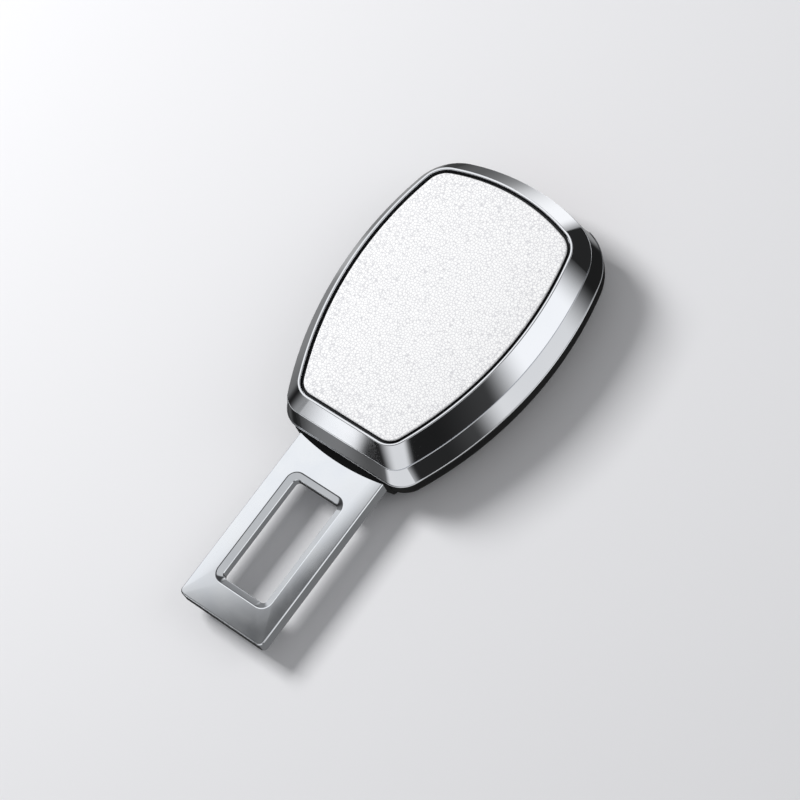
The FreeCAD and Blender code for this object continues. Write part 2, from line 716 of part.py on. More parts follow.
# The black back cover: a dish that leans in towards the back, with bosses, pads and pegs
def back_cover():
    body = new_body("back_cover")
    rim_inset = size.cover_step - size.band_flare
    turn = size.cover_taper_height
    loft(body, [
        Drawing(body, height=0).even_head(rim_inset + size.cover_taper),
        Drawing(body, height=turn).even_head(rim_inset),
    ])
    pad(body, Drawing(body, height=turn).even_head(rim_inset), split - turn)
    fillet(body, lambda p: near(p.z, turn), size.cover_shoulder_round)
    fillet(body, lambda p: near(p.z, 0), size.cover_back_round)
    # The hollow keeps an even wall behind the leaning side
    lean = size.cover_taper * (turn - size.cover_floor) / turn
    inner = rim_inset + size.cover_wall
    pocket(body, Drawing(body, height=split).even_head(inner), split - turn)
    hollow(body, [
        Drawing(body, height=size.cover_floor).even_head(inner + lean),
        Drawing(body, height=turn).even_head(inner),
    ])
    for x, y in SCREW_PLACES:
        drawing = Drawing(body, height=size.cover_floor).circle(x, y, size.boss_radius)
        pad(body, drawing, split - size.cover_floor)
        drawing = Drawing(body, height=0).circle(x, y, size.counterbore_radius)
        pocket(body, drawing, size.counterbore_depth, reverse=True)
        drawing = Drawing(body, height=0).circle(x, y, size.screw_clearance_radius)
        pocket(body, drawing, split, reverse=True)
    # Pads and pegs under the frame
    for along in (size.peg_along, -size.frame_back / 2):
        drawing = Drawing(body, height=size.cover_floor)
        drawing.box(-channel_half, channel_half, along - size.peg_radius, along + size.peg_radius)
        pad(body, drawing, size.frame_lift)
    for side in (1, -1):
        drawing = Drawing(body, height=size.cover_floor)
        drawing.circle(size.peg_across * side, size.peg_along, size.peg_radius)
        pad(body, drawing, size.frame_lift + size.frame_sheet * 0.9)
    # Notches for the tongue's collar and for the mouth
    half = size.collar_half_width + size.fit_gap
    low = frame_top - size.collar_under - size.fit_gap
    drawing = Drawing(body, "XZ_Plane", height=tongue_end + size.collar_depth)
    drawing.box(-half, half, low, split + 1)
    pocket(body, drawing, size.collar_depth * 3, reverse=True)
    half = opening_half
    drawing = Drawing(body, "XZ_Plane", height=frame_mouth)
    drawing.box(-half, half, frame_top - size.guide_lip - size.fit_gap, split + 1)
    pocket(body, drawing, size.head_length / 4)
    return body


# The steel tongue: a plate with a window, which runs on into the head
def tongue_plate():
    body = new_body("tongue_plate")
    half = size.tongue_width / 2
    pad(body, Drawing(body, height=frame_top).box(-half, half, tip, tongue_back), size.tongue_thickness)
    fillet(body, lambda p: near(abs(p.x), half) and near(p.y, tip), size.tip_corner)
    window_half = size.window_width / 2
    window_start = tip + size.tip_bar
    window_end = window_start + size.window_length
    drawing = Drawing(body, height=frame_top).box(-window_half, window_half, window_start, window_end)
    pocket(body, drawing, size.tongue_thickness, reverse=True)

    def window_corner(p):
        return near(abs(p.x), window_half) and (near(p.y, window_start) or near(p.y, window_end))

    fillet(body, window_corner, size.window_corner)

    def on_face(p):
        return near(p.z, frame_top) or near(p.z, tongue_top)

    def at_window(p, slack=0.02):
        inside = abs(p.x) < window_half.number + slack
        return inside and window_start.number - slack < p.y < window_end.number + slack

    coin = chamfer(body, lambda p: on_face(p) and at_window(p), size.window_coin_width)
    coin.ChamferType = "Two distances"
    coin.setExpression("Size2", size.window_coin_depth.text)
    slope_foot = tongue_top - size.window_coin_depth
    if not edges_of(body, lambda p: near(p.z, slope_foot)):
        coin.FlipDirection = True
    if not edges_of(body, lambda p: near(p.z, slope_foot)):
        raise RuntimeError("the window's slope has its two sides mixed up")

    def outer(p):
        return near(abs(p.x), half) or p.y < tip.number + size.tip_corner.number + 0.02

    past_slope = size.window_coin_width.number + 0.1
    fillet(body, lambda p: on_face(p) and outer(p) and not at_window(p, past_slope), size.tongue_edge_round)
    for side in (1, -1):
        drawing = Drawing(body, height=frame_top)
        drawing.circle(size.rivet_across * side, -size.rivet_along, size.rivet_radius)
        pocket(body, drawing, size.tongue_thickness, reverse=True)
    return body


def tongue_collar():
    body = new_body("tongue_collar")
    bottom = frame_top - size.collar_under
    top = split - size.fit_gap
    back = tongue_end + size.collar_depth - size.fit_gap
    bow_y = shell_tongue_end - size.collar_reach + size.collar_bow_radius
    drawing = Drawing(body, height=bottom)
    drawing.bow(size.collar_half_width, back, bow_y, size.collar_bow_radius)
    pad(body, drawing, top - bottom)
    # A flange behind the cover's wall
    wall_inside = shell_tongue_end + size.cover_step + size.cover_wall + size.collar_flange_setback
    flange = size.collar_half_width + size.collar_flange
    flange_bottom = size.cover_taper_height + size.fit_gap
    drawing = Drawing(body, height=flange_bottom)
    drawing.box(-flange, flange, wall_inside, wall_inside + size.collar_flange_depth)
    pad(body, drawing, top - flange_bottom)
    half = size.tongue_width / 2 + size.fit_gap
    drawing = Drawing(body, "XZ_Plane", height=back + 1)
    drawing.box(-half, half, frame_top - size.fit_gap, tongue_top + size.fit_gap)
    pocket(body, drawing, size.collar_depth * 4, reverse=True)
    fillet(body, lambda p: near(p.z, bottom) and p.y < shell_tongue_end.number, size.collar_under * 0.8)
    return body


# The steel frame: a channel for the belt tongue, with ears for the latch pin and a tail for the rivets
def buckle_frame():
    body = new_body("buckle_frame")
    tail_half = size.tail_width / 2
    drawing = Drawing(body, height=frame_bottom)
    drawing.polygon([
        (-tail_half, -size.frame_tail), (tail_half, -size.frame_tail), (tail_half, -size.frame_back),
        (frame_half, -size.frame_back), (frame_half, frame_mouth),
        (-frame_half, frame_mouth), (-frame_half, -size.frame_back), (-tail_half, -size.frame_back),
    ])
    pad(body, drawing, size.frame_sheet)
    ear_top = pivot_z + size.ear_rise
    ear_back = pivot_y - size.ear_length / 2
    ear_front = pivot_y + size.ear_length / 2
    for side in (1, -1):
        drawing = Drawing(body, "YZ_Plane", height=channel_half if side > 0 else -frame_half)
        low = frame_top - 0.5
        drawing.polygon([
            (-size.frame_back, low), (frame_mouth, low), (frame_mouth, channel_top),
            (ear_front, channel_top), (ear_front, ear_top), (ear_back, ear_top),
            (ear_back, channel_top), (-size.frame_back, channel_top),
        ])
        pad(body, drawing, size.frame_sheet)
    fillet(body, lambda p: near(p.z, ear_top) and abs(p.x) > channel_half.number - 0.1
           and (near(p.y, ear_back) or near(p.y, ear_front)), size.ear_rise)
    fillet(body, lambda p: near(p.z, frame_bottom) and near(abs(p.x), frame_half), size.frame_bend)
    # Holes: latch pin, pegs, the keel's slot and the countersunk rivets
    drawing = Drawing(body, "YZ_Plane", height=-frame_half - 1)
    drawing.circle(pivot_y, pivot_z, size.pin_radius)
    pocket(body, drawing, 2 * frame_half + 2, reverse=True)
    for side in (1, -1):
        drawing = Drawing(body, height=frame_bottom)
        drawing.circle(size.peg_across * side, size.peg_along, size.peg_radius + size.fit_gap)
        pocket(body, drawing, size.frame_sheet, reverse=True)
        drawing = Drawing(body, height=frame_bottom)
        drawing.circle(size.rivet_across * side, -size.rivet_along, size.rivet_radius)
        pocket(body, drawing, size.frame_sheet, reverse=True)
        centre = (size.rivet_across * side, -size.rivet_along)
        hollow(body, [
            Drawing(body, height=frame_bottom).circle(*centre, size.rivet_sink_radius),
            Drawing(body, height=frame_bottom + size.rivet_sink_depth).circle(*centre, size.rivet_radius),
        ])
    slot_half = size.keel_width / 2 + size.keel_play
    keel_front = ejector_front() - (size.ejector_length - size.keel_length) / 2
    slot_front = keel_front + size.keel_play
    slot_back = keel_front - size.keel_length - size.ejector_travel - size.keel_play
    drawing = Drawing(body, height=frame_bottom).box(-slot_half, slot_half, slot_back, slot_front)
    pocket(body, drawing, size.frame_sheet, reverse=True)
    return body


def ejector_front():
    return size.tooth_front - size.latch_sheet - size.ejector_gap


def rivet(name, side):
    """One rivet: a countersunk foot, a shank and a domed head."""
    place = (size.rivet_across * side, -size.rivet_along)
    foot = primitive("Cone", name + "Foot", {
        "Radius1": size.rivet_sink_radius, "Radius2": size.rivet_radius, "Height": size.rivet_sink_depth,
    }, (*place, frame_bottom))
    shank = primitive("Cylinder", name + "Shank", {
        "Radius": size.rivet_radius, "Height": size.frame_sheet + size.tongue_thickness,
    }, (*place, frame_bottom))
    head_top = 0.6 * size.rivet_head_radius
    head = primitive("Cone", name + "Head", {
        "Radius1": size.rivet_head_radius, "Radius2": head_top, "Height": size.rivet_head_height,
    }, (*place, tongue_top))
    return fuse(name, [foot, shank, head])


def frame_rivets():
    return group("frame_rivets", [rivet("RivetRight", 1), rivet("RivetLeft", -1)])


def latch():
    body = new_body("latch")
    half, nose = latch_half, size.nose_width / 2
    heel = pivot_y - size.latch_heel
    wing_back = size.wing_front - size.wing_length
    right = [
        (half, heel), (half, wing_back), (size.wing_reach, wing_back), (size.wing_reach, size.wing_front),
        (nose, size.wing_front), (nose, size.tooth_front),
    ]
    left = [(-x, y) for x, y in reversed(right)]
    pad(body, Drawing(body, height=latch_bottom).polygon(right + left), size.latch_sheet)
    # The tooth turns down, with a slope that a belt tongue pushes on
    tooth_half = size.tooth_width / 2
    tooth_back = size.tooth_front - size.latch_sheet
    tooth_tip = frame_top + size.tooth_gap
    drawing = Drawing(body, "YZ_Plane", height=-tooth_half)
    drawing.polygon([
        (tooth_back, latch_top), (tooth_back, tooth_tip),
        (size.tooth_front - size.tooth_ramp, tooth_tip),
        (size.tooth_front, tooth_tip + 2 * size.tooth_ramp), (size.tooth_front, latch_top),
    ])
    pad(body, drawing, size.tooth_width)
    # The ears turn up beside the frame's ears
    ear_back = pivot_y - size.latch_ear_length / 2
    ear_front = pivot_y + size.latch_ear_length / 2
    ear_top = pivot_z + size.latch_ear_rise
    for side in (1, -1):
        height = half - size.latch_sheet if side > 0 else -half
        drawing = Drawing(body, "YZ_Plane", height=height)
        drawing.box(ear_back, ear_front, latch_bottom + 0.1, ear_top)
        pad(body, drawing, size.latch_sheet)
    fillet(body, lambda p: near(p.z, ear_top) and (near(p.y, ear_back) or near(p.y, ear_front)),
           size.latch_ear_rise * 0.9)
    drawing = Drawing(body, "YZ_Plane", height=-half - 1)
    drawing.circle(pivot_y, pivot_z, size.pin_radius + size.pin_play)
    pocket(body, drawing, 2 * half + 2, reverse=True)
    return body


def latch_pin():
    length = 2 * frame_half + size.pin_end
    turn = (VEC(0, 1, 0), 90)
    shank = primitive("Cylinder", "PinShank", {"Radius": size.pin_radius, "Height": length},
                      (-frame_half - size.pin_end, pivot_y, pivot_z), turn)
    head = primitive("Cone", "PinHead", {
        "Radius1": size.pin_head_radius, "Radius2": size.pin_head_radius * 0.7,
        "Height": size.pin_head_height,
    }, (frame_half, pivot_y, pivot_z), turn)
    made = fuse("latch_pin", [shank, head])
    made.Label = "latch_pin"
    return made


# The red button: a head at the mouth, a crossbar, and two arms with cams that lift the latch's wings
def release_button():
    body = new_body("release_button")
    half = size.button_width / 2
    bar_back = size.crossbar_front - size.crossbar_depth
    end_y = head_end - size.mouth_end_radius
    drawing = Drawing(body, height=button_bottom)
    drawing.bow(half, bar_back, end_y, size.mouth_end_radius + size.button_proud)
    pad(body, drawing, size.button_height)
    face_y = end_y.number + size.mouth_end_radius.number + size.button_proud.number
    fillet(body, lambda p: (near(p.z, button_bottom) or near(p.z, button_top))
           and p.y > face_y - 3, size.button_round)
    drawing = Drawing(body, height=button_bottom)
    drawing.box(-arm_outer, arm_outer, bar_back, size.crossbar_front)
    pad(body, drawing, size.button_height)
    # The cam's slope keeps the same play to the wing's front edge at rest and when pressed
    reach = size.wing_front + size.pivot_back
    drop = latch_bottom - pivot_z
    lifted_y = reach * cosine(size.latch_lift) - drop * sine(size.latch_lift) + pivot_y
    lifted_z = reach * sine(size.latch_lift) + drop * cosine(size.latch_lift) + pivot_z
    low_y, low_z = size.wing_front, latch_bottom - size.cam_play
    high_y, high_z = lifted_y + size.button_travel, lifted_z - size.cam_play
    slope = (high_z - low_z) / (high_y - low_y)
    foot_y = low_y - size.cam_foot
    foot_z = low_z - size.cam_foot * slope
    arm_bottom = foot_z - size.arm_width / 2
    for side in (1, -1):
        drawing = Drawing(body, "YZ_Plane", height=arm_inner if side > 0 else -arm_outer)
        drawing.polygon([
            (foot_y, arm_bottom), (size.crossbar_front, arm_bottom), (size.crossbar_front, button_top),
            (high_y + size.cam_head, button_top), (high_y + size.cam_head, high_z), (high_y, high_z),
            (foot_y, foot_z),
        ])
        pad(body, drawing, size.arm_width)
        drawing = Drawing(body, "XZ_Plane", height=bar_back)
        drawing.circle(size.spring_across * side, spring_z(), size.spring_bore_radius)
        pocket(body, drawing, size.spring_bore_depth)
    return body


def spring_z():
    return button_bottom + size.button_height / 2


def ejector():
    body = new_body("ejector")
    half = size.ejector_width / 2
    front = ejector_front()
    back = front - size.ejector_length
    bottom = frame_top + size.ejector_play
    top = channel_top - size.ejector_play
    pad(body, Drawing(body, height=bottom).box(-half, half, back, front), top - bottom)
    fillet(body, lambda p: near(abs(p.x), half) and (near(p.y, back) or near(p.y, front)),
           size.ejector_round)
    keel_half = size.keel_width / 2
    keel_front = front - (size.ejector_length - size.keel_length) / 2
    drawing = Drawing(body, height=frame_top - size.keel_drop)
    drawing.box(-keel_half, keel_half, keel_front - size.keel_length, keel_front)
    pad(body, drawing, size.keel_drop + size.ejector_play + 0.5)
    drawing = Drawing(body, "XZ_Plane", height=back)
    drawing.circle(0, ejector_spring_z(), size.ejector_bore_radius)
    pocket(body, drawing, size.ejector_bore_depth)
    return body


def ejector_spring_z():
    return frame_top + size.channel_height / 2


def coil(label, centre, start, length, radius, wire, turns, along_y):
    """A compression spring along Y or Z, from start, with its wire's middle on the mean radius."""
    body = new_body(label)
    if along_y:
        # The helix axis is the sketch's vertical axis, at the spring's own centre
        drawing = Drawing(body, "XY_Plane", height=centre[1], centre=(centre[0], start + wire))
    else:
        # On the XZ plane the sketch's vertical axis is Z
        drawing = Drawing(body, "XZ_Plane", height=centre[1], centre=(centre[0], start + wire))
    drawing.hexagon(radius, wire)
    rise = length - 2 * wire
    made = body.newObject("PartDesign::AdditiveHelix", label + "Helix")
    made.Profile = drawing.sketch
    made.ReferenceAxis = (drawing.sketch, ["V_Axis"])
    made.Mode = 2
    made.setExpression("Height", rise.text)
    made.setExpression("Turns", turns.text)
    doc.recompute()
    return body


def button_spring(label, side):
    start = size.spring_wall_front
    end = size.crossbar_front - size.crossbar_depth + size.spring_bore_depth
    return coil(label, (size.spring_across * side, spring_z()), start, end - start,
                size.button_coil_radius, size.button_wire, size.button_turns, True)


def ejector_spring():
    end = ejector_front() - size.ejector_length + size.ejector_bore_depth
    return coil("ejector_spring", (Size.of(0), ejector_spring_z()), tongue_back, end - tongue_back,
                size.ejector_coil_radius, size.ejector_wire, size.ejector_turns, True)


def latch_spring():
    return coil("latch_spring", (Size.of(0), pivot_y + size.latch_spring_ahead), latch_top,
                deck_bottom - latch_top, size.latch_coil_radius, size.latch_wire, size.latch_turns, False)


# The black inner housing: a deck with a wall round it, and what guides, seats and holds the mechanism
def inner_housing():
    body = new_body("inner_housing")
    bottom = split + size.case_gap
    pad(body, Drawing(body, height=deck_bottom).even_head(size.ring_inset + 1.0), size.deck_thickness)
    ring_top = deck_bottom + size.ring_rise
    pad(body, Drawing(body, height=bottom).even_head(size.ring_inset), ring_top - bottom)
    inside = size.ring_inset + size.ring_wall
    pocket(body, Drawing(body, height=deck_bottom).even_head(inside), deck_bottom - bottom)
    # Lugs, and room for the shell's posts above them
    for x, y in SCREW_PLACES:
        pad(body, Drawing(body, height=bottom).circle(x, y, size.lug_radius), size.lug_thickness)
    for x, y in SCREW_PLACES:
        drawing = Drawing(body, height=bottom + size.lug_thickness)
        drawing.circle(x, y, size.post_radius + size.case_gap)
        pocket(body, drawing, deck_top - bottom, reverse=True)
        drawing = Drawing(body, height=bottom).circle(x, y, size.screw_clearance_radius)
        pocket(body, drawing, size.lug_thickness, reverse=True)
    # The latch spring's seat
    seat_y = pivot_y + size.latch_spring_ahead
    drawing = Drawing(body, height=deck_bottom - size.seat_boss_drop)
    drawing.circle(0, seat_y, size.seat_boss_radius)
    pad(body, drawing, size.seat_boss_drop)
    drawing = Drawing(body, height=deck_bottom - size.seat_boss_drop)
    drawing.circle(0, seat_y, size.seat_bore_radius)
    pocket(body, drawing, size.seat_boss_drop, reverse=True)
    # The wall that the button's springs push on, with its pegs
    half, front = size.spring_wall_half_width, size.spring_wall_front
    drawing = Drawing(body, height=channel_top + size.button_low)
    drawing.box(-half, half, front - size.spring_wall_sheet, front)
    pad(body, drawing, deck_bottom - channel_top - size.button_low)
    for side in (1, -1):
        drawing = Drawing(body, "XZ_Plane", height=front)
        drawing.circle(size.spring_across * side, spring_z(), size.spring_peg_radius)
        pad(body, drawing, size.spring_peg_length, reverse=True)
        # Guide rails beside the button's arms
        rail_inner = arm_outer + size.rail_gap
        rail_outer = rail_inner + size.rail_width
        x0, x1 = (rail_inner, rail_outer) if side > 0 else (-rail_outer, -rail_inner)
        drawing = Drawing(body, height=bottom).box(x0, x1, size.rail_back, size.rail_mouth)
        pad(body, drawing, deck_bottom - bottom)
        # Ribs that hold the frame's walls down
        x0, x1 = (channel_half, frame_half) if side > 0 else (-frame_half, -channel_half)
        rib_front = -size.frame_back + size.rib_thickness
        drawing = Drawing(body, height=channel_top + size.fit_gap).box(x0, x1, -size.frame_back, rib_front)
        pad(body, drawing, deck_bottom - channel_top - size.fit_gap)
    half, back = size.tongue_rib_half_width, -size.tongue_rib_along
    drawing = Drawing(body, height=tongue_top + size.fit_gap)
    drawing.box(-half, half, back, back + size.rib_thickness)
    pad(body, drawing, deck_bottom - tongue_top - size.fit_gap)
    # The way out for button and belt tongue
    half = opening_half
    drawing = Drawing(body, "XZ_Plane", height=cheek_back - size.case_gap)
    drawing.box(-half, half, bottom - 1, opening_top + size.case_gap)
    pocket(body, drawing, size.head_length / 4)
    return body


# The mouth guide: a funnel into the channel, with cheeks beside the button
def mouth_guide():
    body = new_body("mouth_guide")
    half = guide_half
    end_y = head_end - size.mouth_end_radius
    face = size.mouth_end_radius + size.guide_face
    bottom = frame_top - size.guide_lip
    bar_top = channel_top + size.guide_bar
    back = guide_back
    pad(body, Drawing(body, height=bottom).bow(half, back, end_y, face), bar_top - bottom)
    top = opening_top - size.case_gap / 2
    cheek = Drawing(body, height=bar_top - 0.2).bow(half, cheek_back, end_y, face)
    pad(body, cheek, top - bar_top + 0.2)
    flange = half + size.guide_flange
    drawing = Drawing(body, height=size.cover_taper_height)
    drawing.box(-flange, flange, back, back + size.guide_flange_depth)
    pad(body, drawing, split - size.fit_gap - size.cover_taper_height)
    # Room for the button, open at the top
    drawing = Drawing(body, "XZ_Plane", height=cheek_back - 1)
    drawing.box(-button_room_half, button_room_half, bar_top, top + 1)
    pocket(body, drawing, size.head_length / 4)
    # The slot, with its flare
    drawing = Drawing(body, "XZ_Plane", height=back - 1)
    drawing.box(-channel_half, channel_half, frame_top, channel_top)
    pocket(body, drawing, size.head_length / 4)
    mouth = head_end + size.guide_face
    wide = channel_half + size.funnel
    hollow(body, [
        Drawing(body, "XZ_Plane", height=mouth - size.funnel_depth).box(
            -channel_half, channel_half, frame_top, channel_top),
        Drawing(body, "XZ_Plane", height=mouth).box(-wide, wide, frame_top - size.funnel, channel_top),
    ])
    return body


def screw(name, x, y):
    """One self-tapping screw: a head with a cross recess, and a shank."""
    seat = size.counterbore_depth
    bottom = seat - size.screw_head_height
    post_bottom = split + size.case_gap + size.lug_thickness + size.fit_gap
    shank = primitive("Cylinder", name + "Shank", {
        "Radius": size.screw_radius, "Height": post_bottom + size.screw_bite - seat + 0.1,
    }, (x, y, seat - 0.1))
    head = primitive("Cone", name + "Head", {
        "Radius1": size.screw_head_radius * 0.8, "Radius2": size.screw_head_radius,
        "Height": size.screw_head_height,
    }, (x, y, bottom))
    reach = size.screw_head_radius
    bars = []
    for tag, along, across in (("A", reach, size.screw_slot_width), ("B", size.screw_slot_width, reach)):
        bars.append(primitive("Box", name + "Slot" + tag, {
            "Length": along, "Width": across, "Height": size.screw_slot_depth,
        }, (x - along / 2, y - across / 2, bottom)))
    return cut(name, fuse(name + "Blank", [shank, head]), fuse(name + "Cross", bars))


def housing_screws():
    return group("housing_screws", [
        screw(f"Screw{letter}", x, y) for letter, (x, y) in zip("ABCD", SCREW_PLACES)
    ])


PIECES = [
    bezel_shell(), leather_panel(), panel_board(), panel_tape(), back_cover(), tongue_plate(),
    tongue_collar(), buckle_frame(), frame_rivets(), latch(), latch_pin(), latch_spring(),
    release_button(), button_spring("button_spring_right", 1), button_spring("button_spring_left", -1),
    ejector(), ejector_spring(), inner_housing(), mouth_guide(), housing_screws(),
]

doc.recompute()
faults = [o.Name for o in doc.Objects if {"Invalid", "Error"} & set(o.State)]
for piece in PIECES:
    if piece.Shape.isNull() or not piece.Shape.isValid():
        faults.append(piece.Label)
if faults:
    raise RuntimeError("Not built: " + ", ".join(faults))

os.makedirs("parts", exist_ok=True)
for piece in PIECES:
    piece.Shape.exportStep(f"parts/{piece.Label}.step")
    box = piece.Shape.optimalBoundingBox(False)
    print(f"{piece.Label}: {len(piece.Shape.Solids)} solid, {piece.Shape.Volume:.1f} mm3, "
          f"x {box.XMin:.2f} to {box.XMax:.2f}, y {box.YMin:.2f} to {box.YMax:.2f}, "
          f"z {box.ZMin:.2f} to {box.ZMax:.2f}")
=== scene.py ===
# %% [markdown]
# # Seat belt extender
# A seat belt extender is a short steel tongue with a buckle head on it. The tongue clicks into the
# car's own buckle, and the car's belt clicks into the head. This one wears a polished chrome shell
# with a pale leather panel set in it, over a black plastic back.
#
# The measured CAD model comes in first, as a fixed frame. The outside pieces are then modelled again
# with finer curves, because polished chrome shows every facet in its reflections.

# %% Load the frame
import math

import bmesh
import bpy
from mathutils import Matrix, Vector


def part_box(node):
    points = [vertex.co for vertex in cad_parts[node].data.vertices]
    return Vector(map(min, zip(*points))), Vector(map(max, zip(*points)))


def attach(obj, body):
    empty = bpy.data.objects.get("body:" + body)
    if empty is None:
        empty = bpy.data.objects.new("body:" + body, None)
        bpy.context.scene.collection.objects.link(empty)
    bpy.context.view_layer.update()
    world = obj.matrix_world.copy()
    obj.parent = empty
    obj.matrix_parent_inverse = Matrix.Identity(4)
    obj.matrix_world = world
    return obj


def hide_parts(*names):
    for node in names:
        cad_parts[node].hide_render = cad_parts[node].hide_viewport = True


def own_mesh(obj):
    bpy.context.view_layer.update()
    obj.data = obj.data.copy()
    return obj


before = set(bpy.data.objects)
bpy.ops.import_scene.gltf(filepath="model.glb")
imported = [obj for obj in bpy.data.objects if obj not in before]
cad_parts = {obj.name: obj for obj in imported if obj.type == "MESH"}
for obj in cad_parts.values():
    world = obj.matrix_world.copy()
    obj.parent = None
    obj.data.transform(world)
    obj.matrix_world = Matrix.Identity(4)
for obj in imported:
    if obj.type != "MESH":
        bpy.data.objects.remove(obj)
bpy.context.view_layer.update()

MM = 0.001


# %% [markdown]
# ## Camera
# The photograph looks down on the panel from the front right with a long lens. A fit of the object's
# edges gave the place, the turn and the focal length, so the camera gets its three axes as numbers
# instead of a look-at point.

# %% Camera
CAMERA_PLACE_MM = (244.91, -135.08, 517.54)
CAMERA_RIGHT = (0.77239, 0.59142, -0.23162)
CAMERA_UP = (-0.47626, 0.78055, 0.40487)
CAMERA_BACK = (0.42024, -0.20241, 0.88455)
LENS_MM, SENSOR_MM = 126.95, 36
NEAREST, FARTHEST = 0.05, 20

camera_data = bpy.data.cameras.new("camera")
camera_data.lens = LENS_MM
camera_data.sensor_width = SENSOR_MM
camera_data.clip_start = NEAREST
camera_data.clip_end = FARTHEST
camera = bpy.data.objects.new("camera", camera_data)
bpy.context.scene.collection.objects.link(camera)
turn = Matrix((CAMERA_RIGHT, CAMERA_UP, CAMERA_BACK)).transposed().to_4x4()
camera.matrix_world = Matrix.Translation(Vector(CAMERA_PLACE_MM) * MM) @ turn
bpy.context.scene.camera = camera
print("camera is", round(Vector(CAMERA_PLACE_MM).length), "mm from the head's middle")


# %% [markdown]
# ## Colours and nodes
# Colours are written as sRGB hex, as a picker shows them, and Blender's sockets want linear light. One
# function turns one into the other. A second one adds a shader node with its settings and links.

# %% Colour and node helpers
def linear(hex_colour):
    """An sRGB hex colour as linear red, green, blue and alpha."""
    parts = [int(hex_colour[i:i + 2], 16) / 255 for i in (1, 3, 5)]
    return [p / 12.92 if p <= 0.04045 else ((p + 0.055) / 1.055) ** 2.4 for p in parts] + [1.0]


def add_node(tree, kind, inputs=None, stops=(), **settings):
    """Adds a node. An input's value is a number, a colour, or another node's output, which is linked.

    Stops are a colour ramp's pairs of place and hex colour.
    """
    node = tree.nodes.new(kind)
    for name, value in settings.items():
        setattr(node, name, value)
    for name, value in (inputs or {}).items():
        if isinstance(value, bpy.types.NodeSocket):
            tree.links.new(value, node.inputs[name])
        else:
            node.inputs[name].default_value = value
    if stops:
        points = node.color_ramp.elements
        while len(points) < len(stops):
            points.new(0.5)
        for point, (position, colour) in zip(points, stops):
            point.position = position
            point.color = linear(colour)
    return node


def new_material(name):
    """An empty material, its node tree, its Principled shader and its Object coordinates."""
    material = bpy.data.materials.new(name)
    material.use_nodes = True
    tree = material.node_tree
    shader = next(n for n in tree.nodes if n.type == "BSDF_PRINCIPLED")
    place = add_node(tree, "ShaderNodeTexCoord").outputs["Object"]
    return material, tree, shader, place


def per_metre(size_mm):
    """Texture scale that gives a pattern of this size."""
    return 1 / (size_mm * MM)


# %% [markdown]
# ## Uneven gloss
# No real surface is evenly shiny. Handling, polishing and moulding leave patches, and a roughness that
# drifts between two values shows them. A noise's values mostly lie between 0.3 and 0.7, so that range is
# stretched over the two. The same noise can lift the surface a little.

# %% Gloss helper
NOISE_LOW, NOISE_HIGH = 0.3, 0.7


def wear(tree, shader, place, size_mm, low, high, bump=0.0, bump_mm=0.02, detail=4):
    """Uneven roughness from low to high in patches of one size, and a bump from the same noise."""
    noise = add_node(tree, "ShaderNodeTexNoise", {
        "Vector": place, "Scale": per_metre(size_mm), "Detail": detail, "Roughness": 0.6})
    spread = add_node(tree, "ShaderNodeMapRange", {
        "Value": noise.outputs["Fac"], "From Min": NOISE_LOW, "From Max": NOISE_HIGH,
        "To Min": low, "To Max": high})
    tree.links.new(spread.outputs["Result"], shader.inputs["Roughness"])
    if bump:
        relief = add_node(tree, "ShaderNodeBump", {
            "Height": noise.outputs["Fac"], "Strength": bump, "Distance": bump_mm * MM})
        tree.links.new(relief.outputs["Normal"], shader.inputs["Normal"])
    return noise.outputs["Fac"]


# %% [markdown]
# ## Chrome plate
# The shell is a zinc casting, polished and plated with bright chrome. Plated chrome is almost a mirror.
# What shows on it is the room, so it has a nearly white, faintly blue metal colour and a very low
# roughness. A little unevenness in the polish keeps the reflections from looking drawn.

# %% Chrome
CHROME_TONE_MM, POLISH_MM, POLISH_DEPTH_MM = 25, 9, 0.003

chrome, tree, shader, place = new_material("polished_chrome_plate")
shader.inputs["Metallic"].default_value = 1
tone = add_node(tree, "ShaderNodeTexNoise", {
    "Vector": place, "Scale": per_metre(CHROME_TONE_MM), "Detail": 2})
metal = add_node(tree, "ShaderNodeValToRGB", {"Fac": tone.outputs["Fac"]},
                 stops=[(NOISE_LOW, "#DFE2E7"), (NOISE_HIGH, "#E6E8EC")])
tree.links.new(metal.outputs["Color"], shader.inputs["Base Color"])
wear(tree, shader, place, POLISH_MM, low=0.03, high=0.05, bump=0.05, bump_mm=POLISH_DEPTH_MM, detail=2)
print("made", chrome.name)


# %% [markdown]
# ## Leather
# The panel is thin, white, embossed leather. Its grain is small round pebbles a bit over half a
# millimetre wide with fine creases between them. Voronoi cells give the pebbles, and their distance to
# the edge gives the creases. A slow noise bends the cells so that no two look alike, and a fine one adds
# pores. The creases are coloured darker than the pebble tops, as painted shade in them. Below a height
# the turned edge is coloured black, which is painted shade that draws the dark gap round the panel.

# %% Leather
GRAIN_MM, RELIEF_MM = 0.62, 0.03
BEND_MM, BEND_BY_MM = 1.4, 0.45
PORE_MM, PORE_HEIGHT = 0.16, 0.18
GAP_SHADE_TOP, GAP_SHADE_FADE = 17.72, 0.04

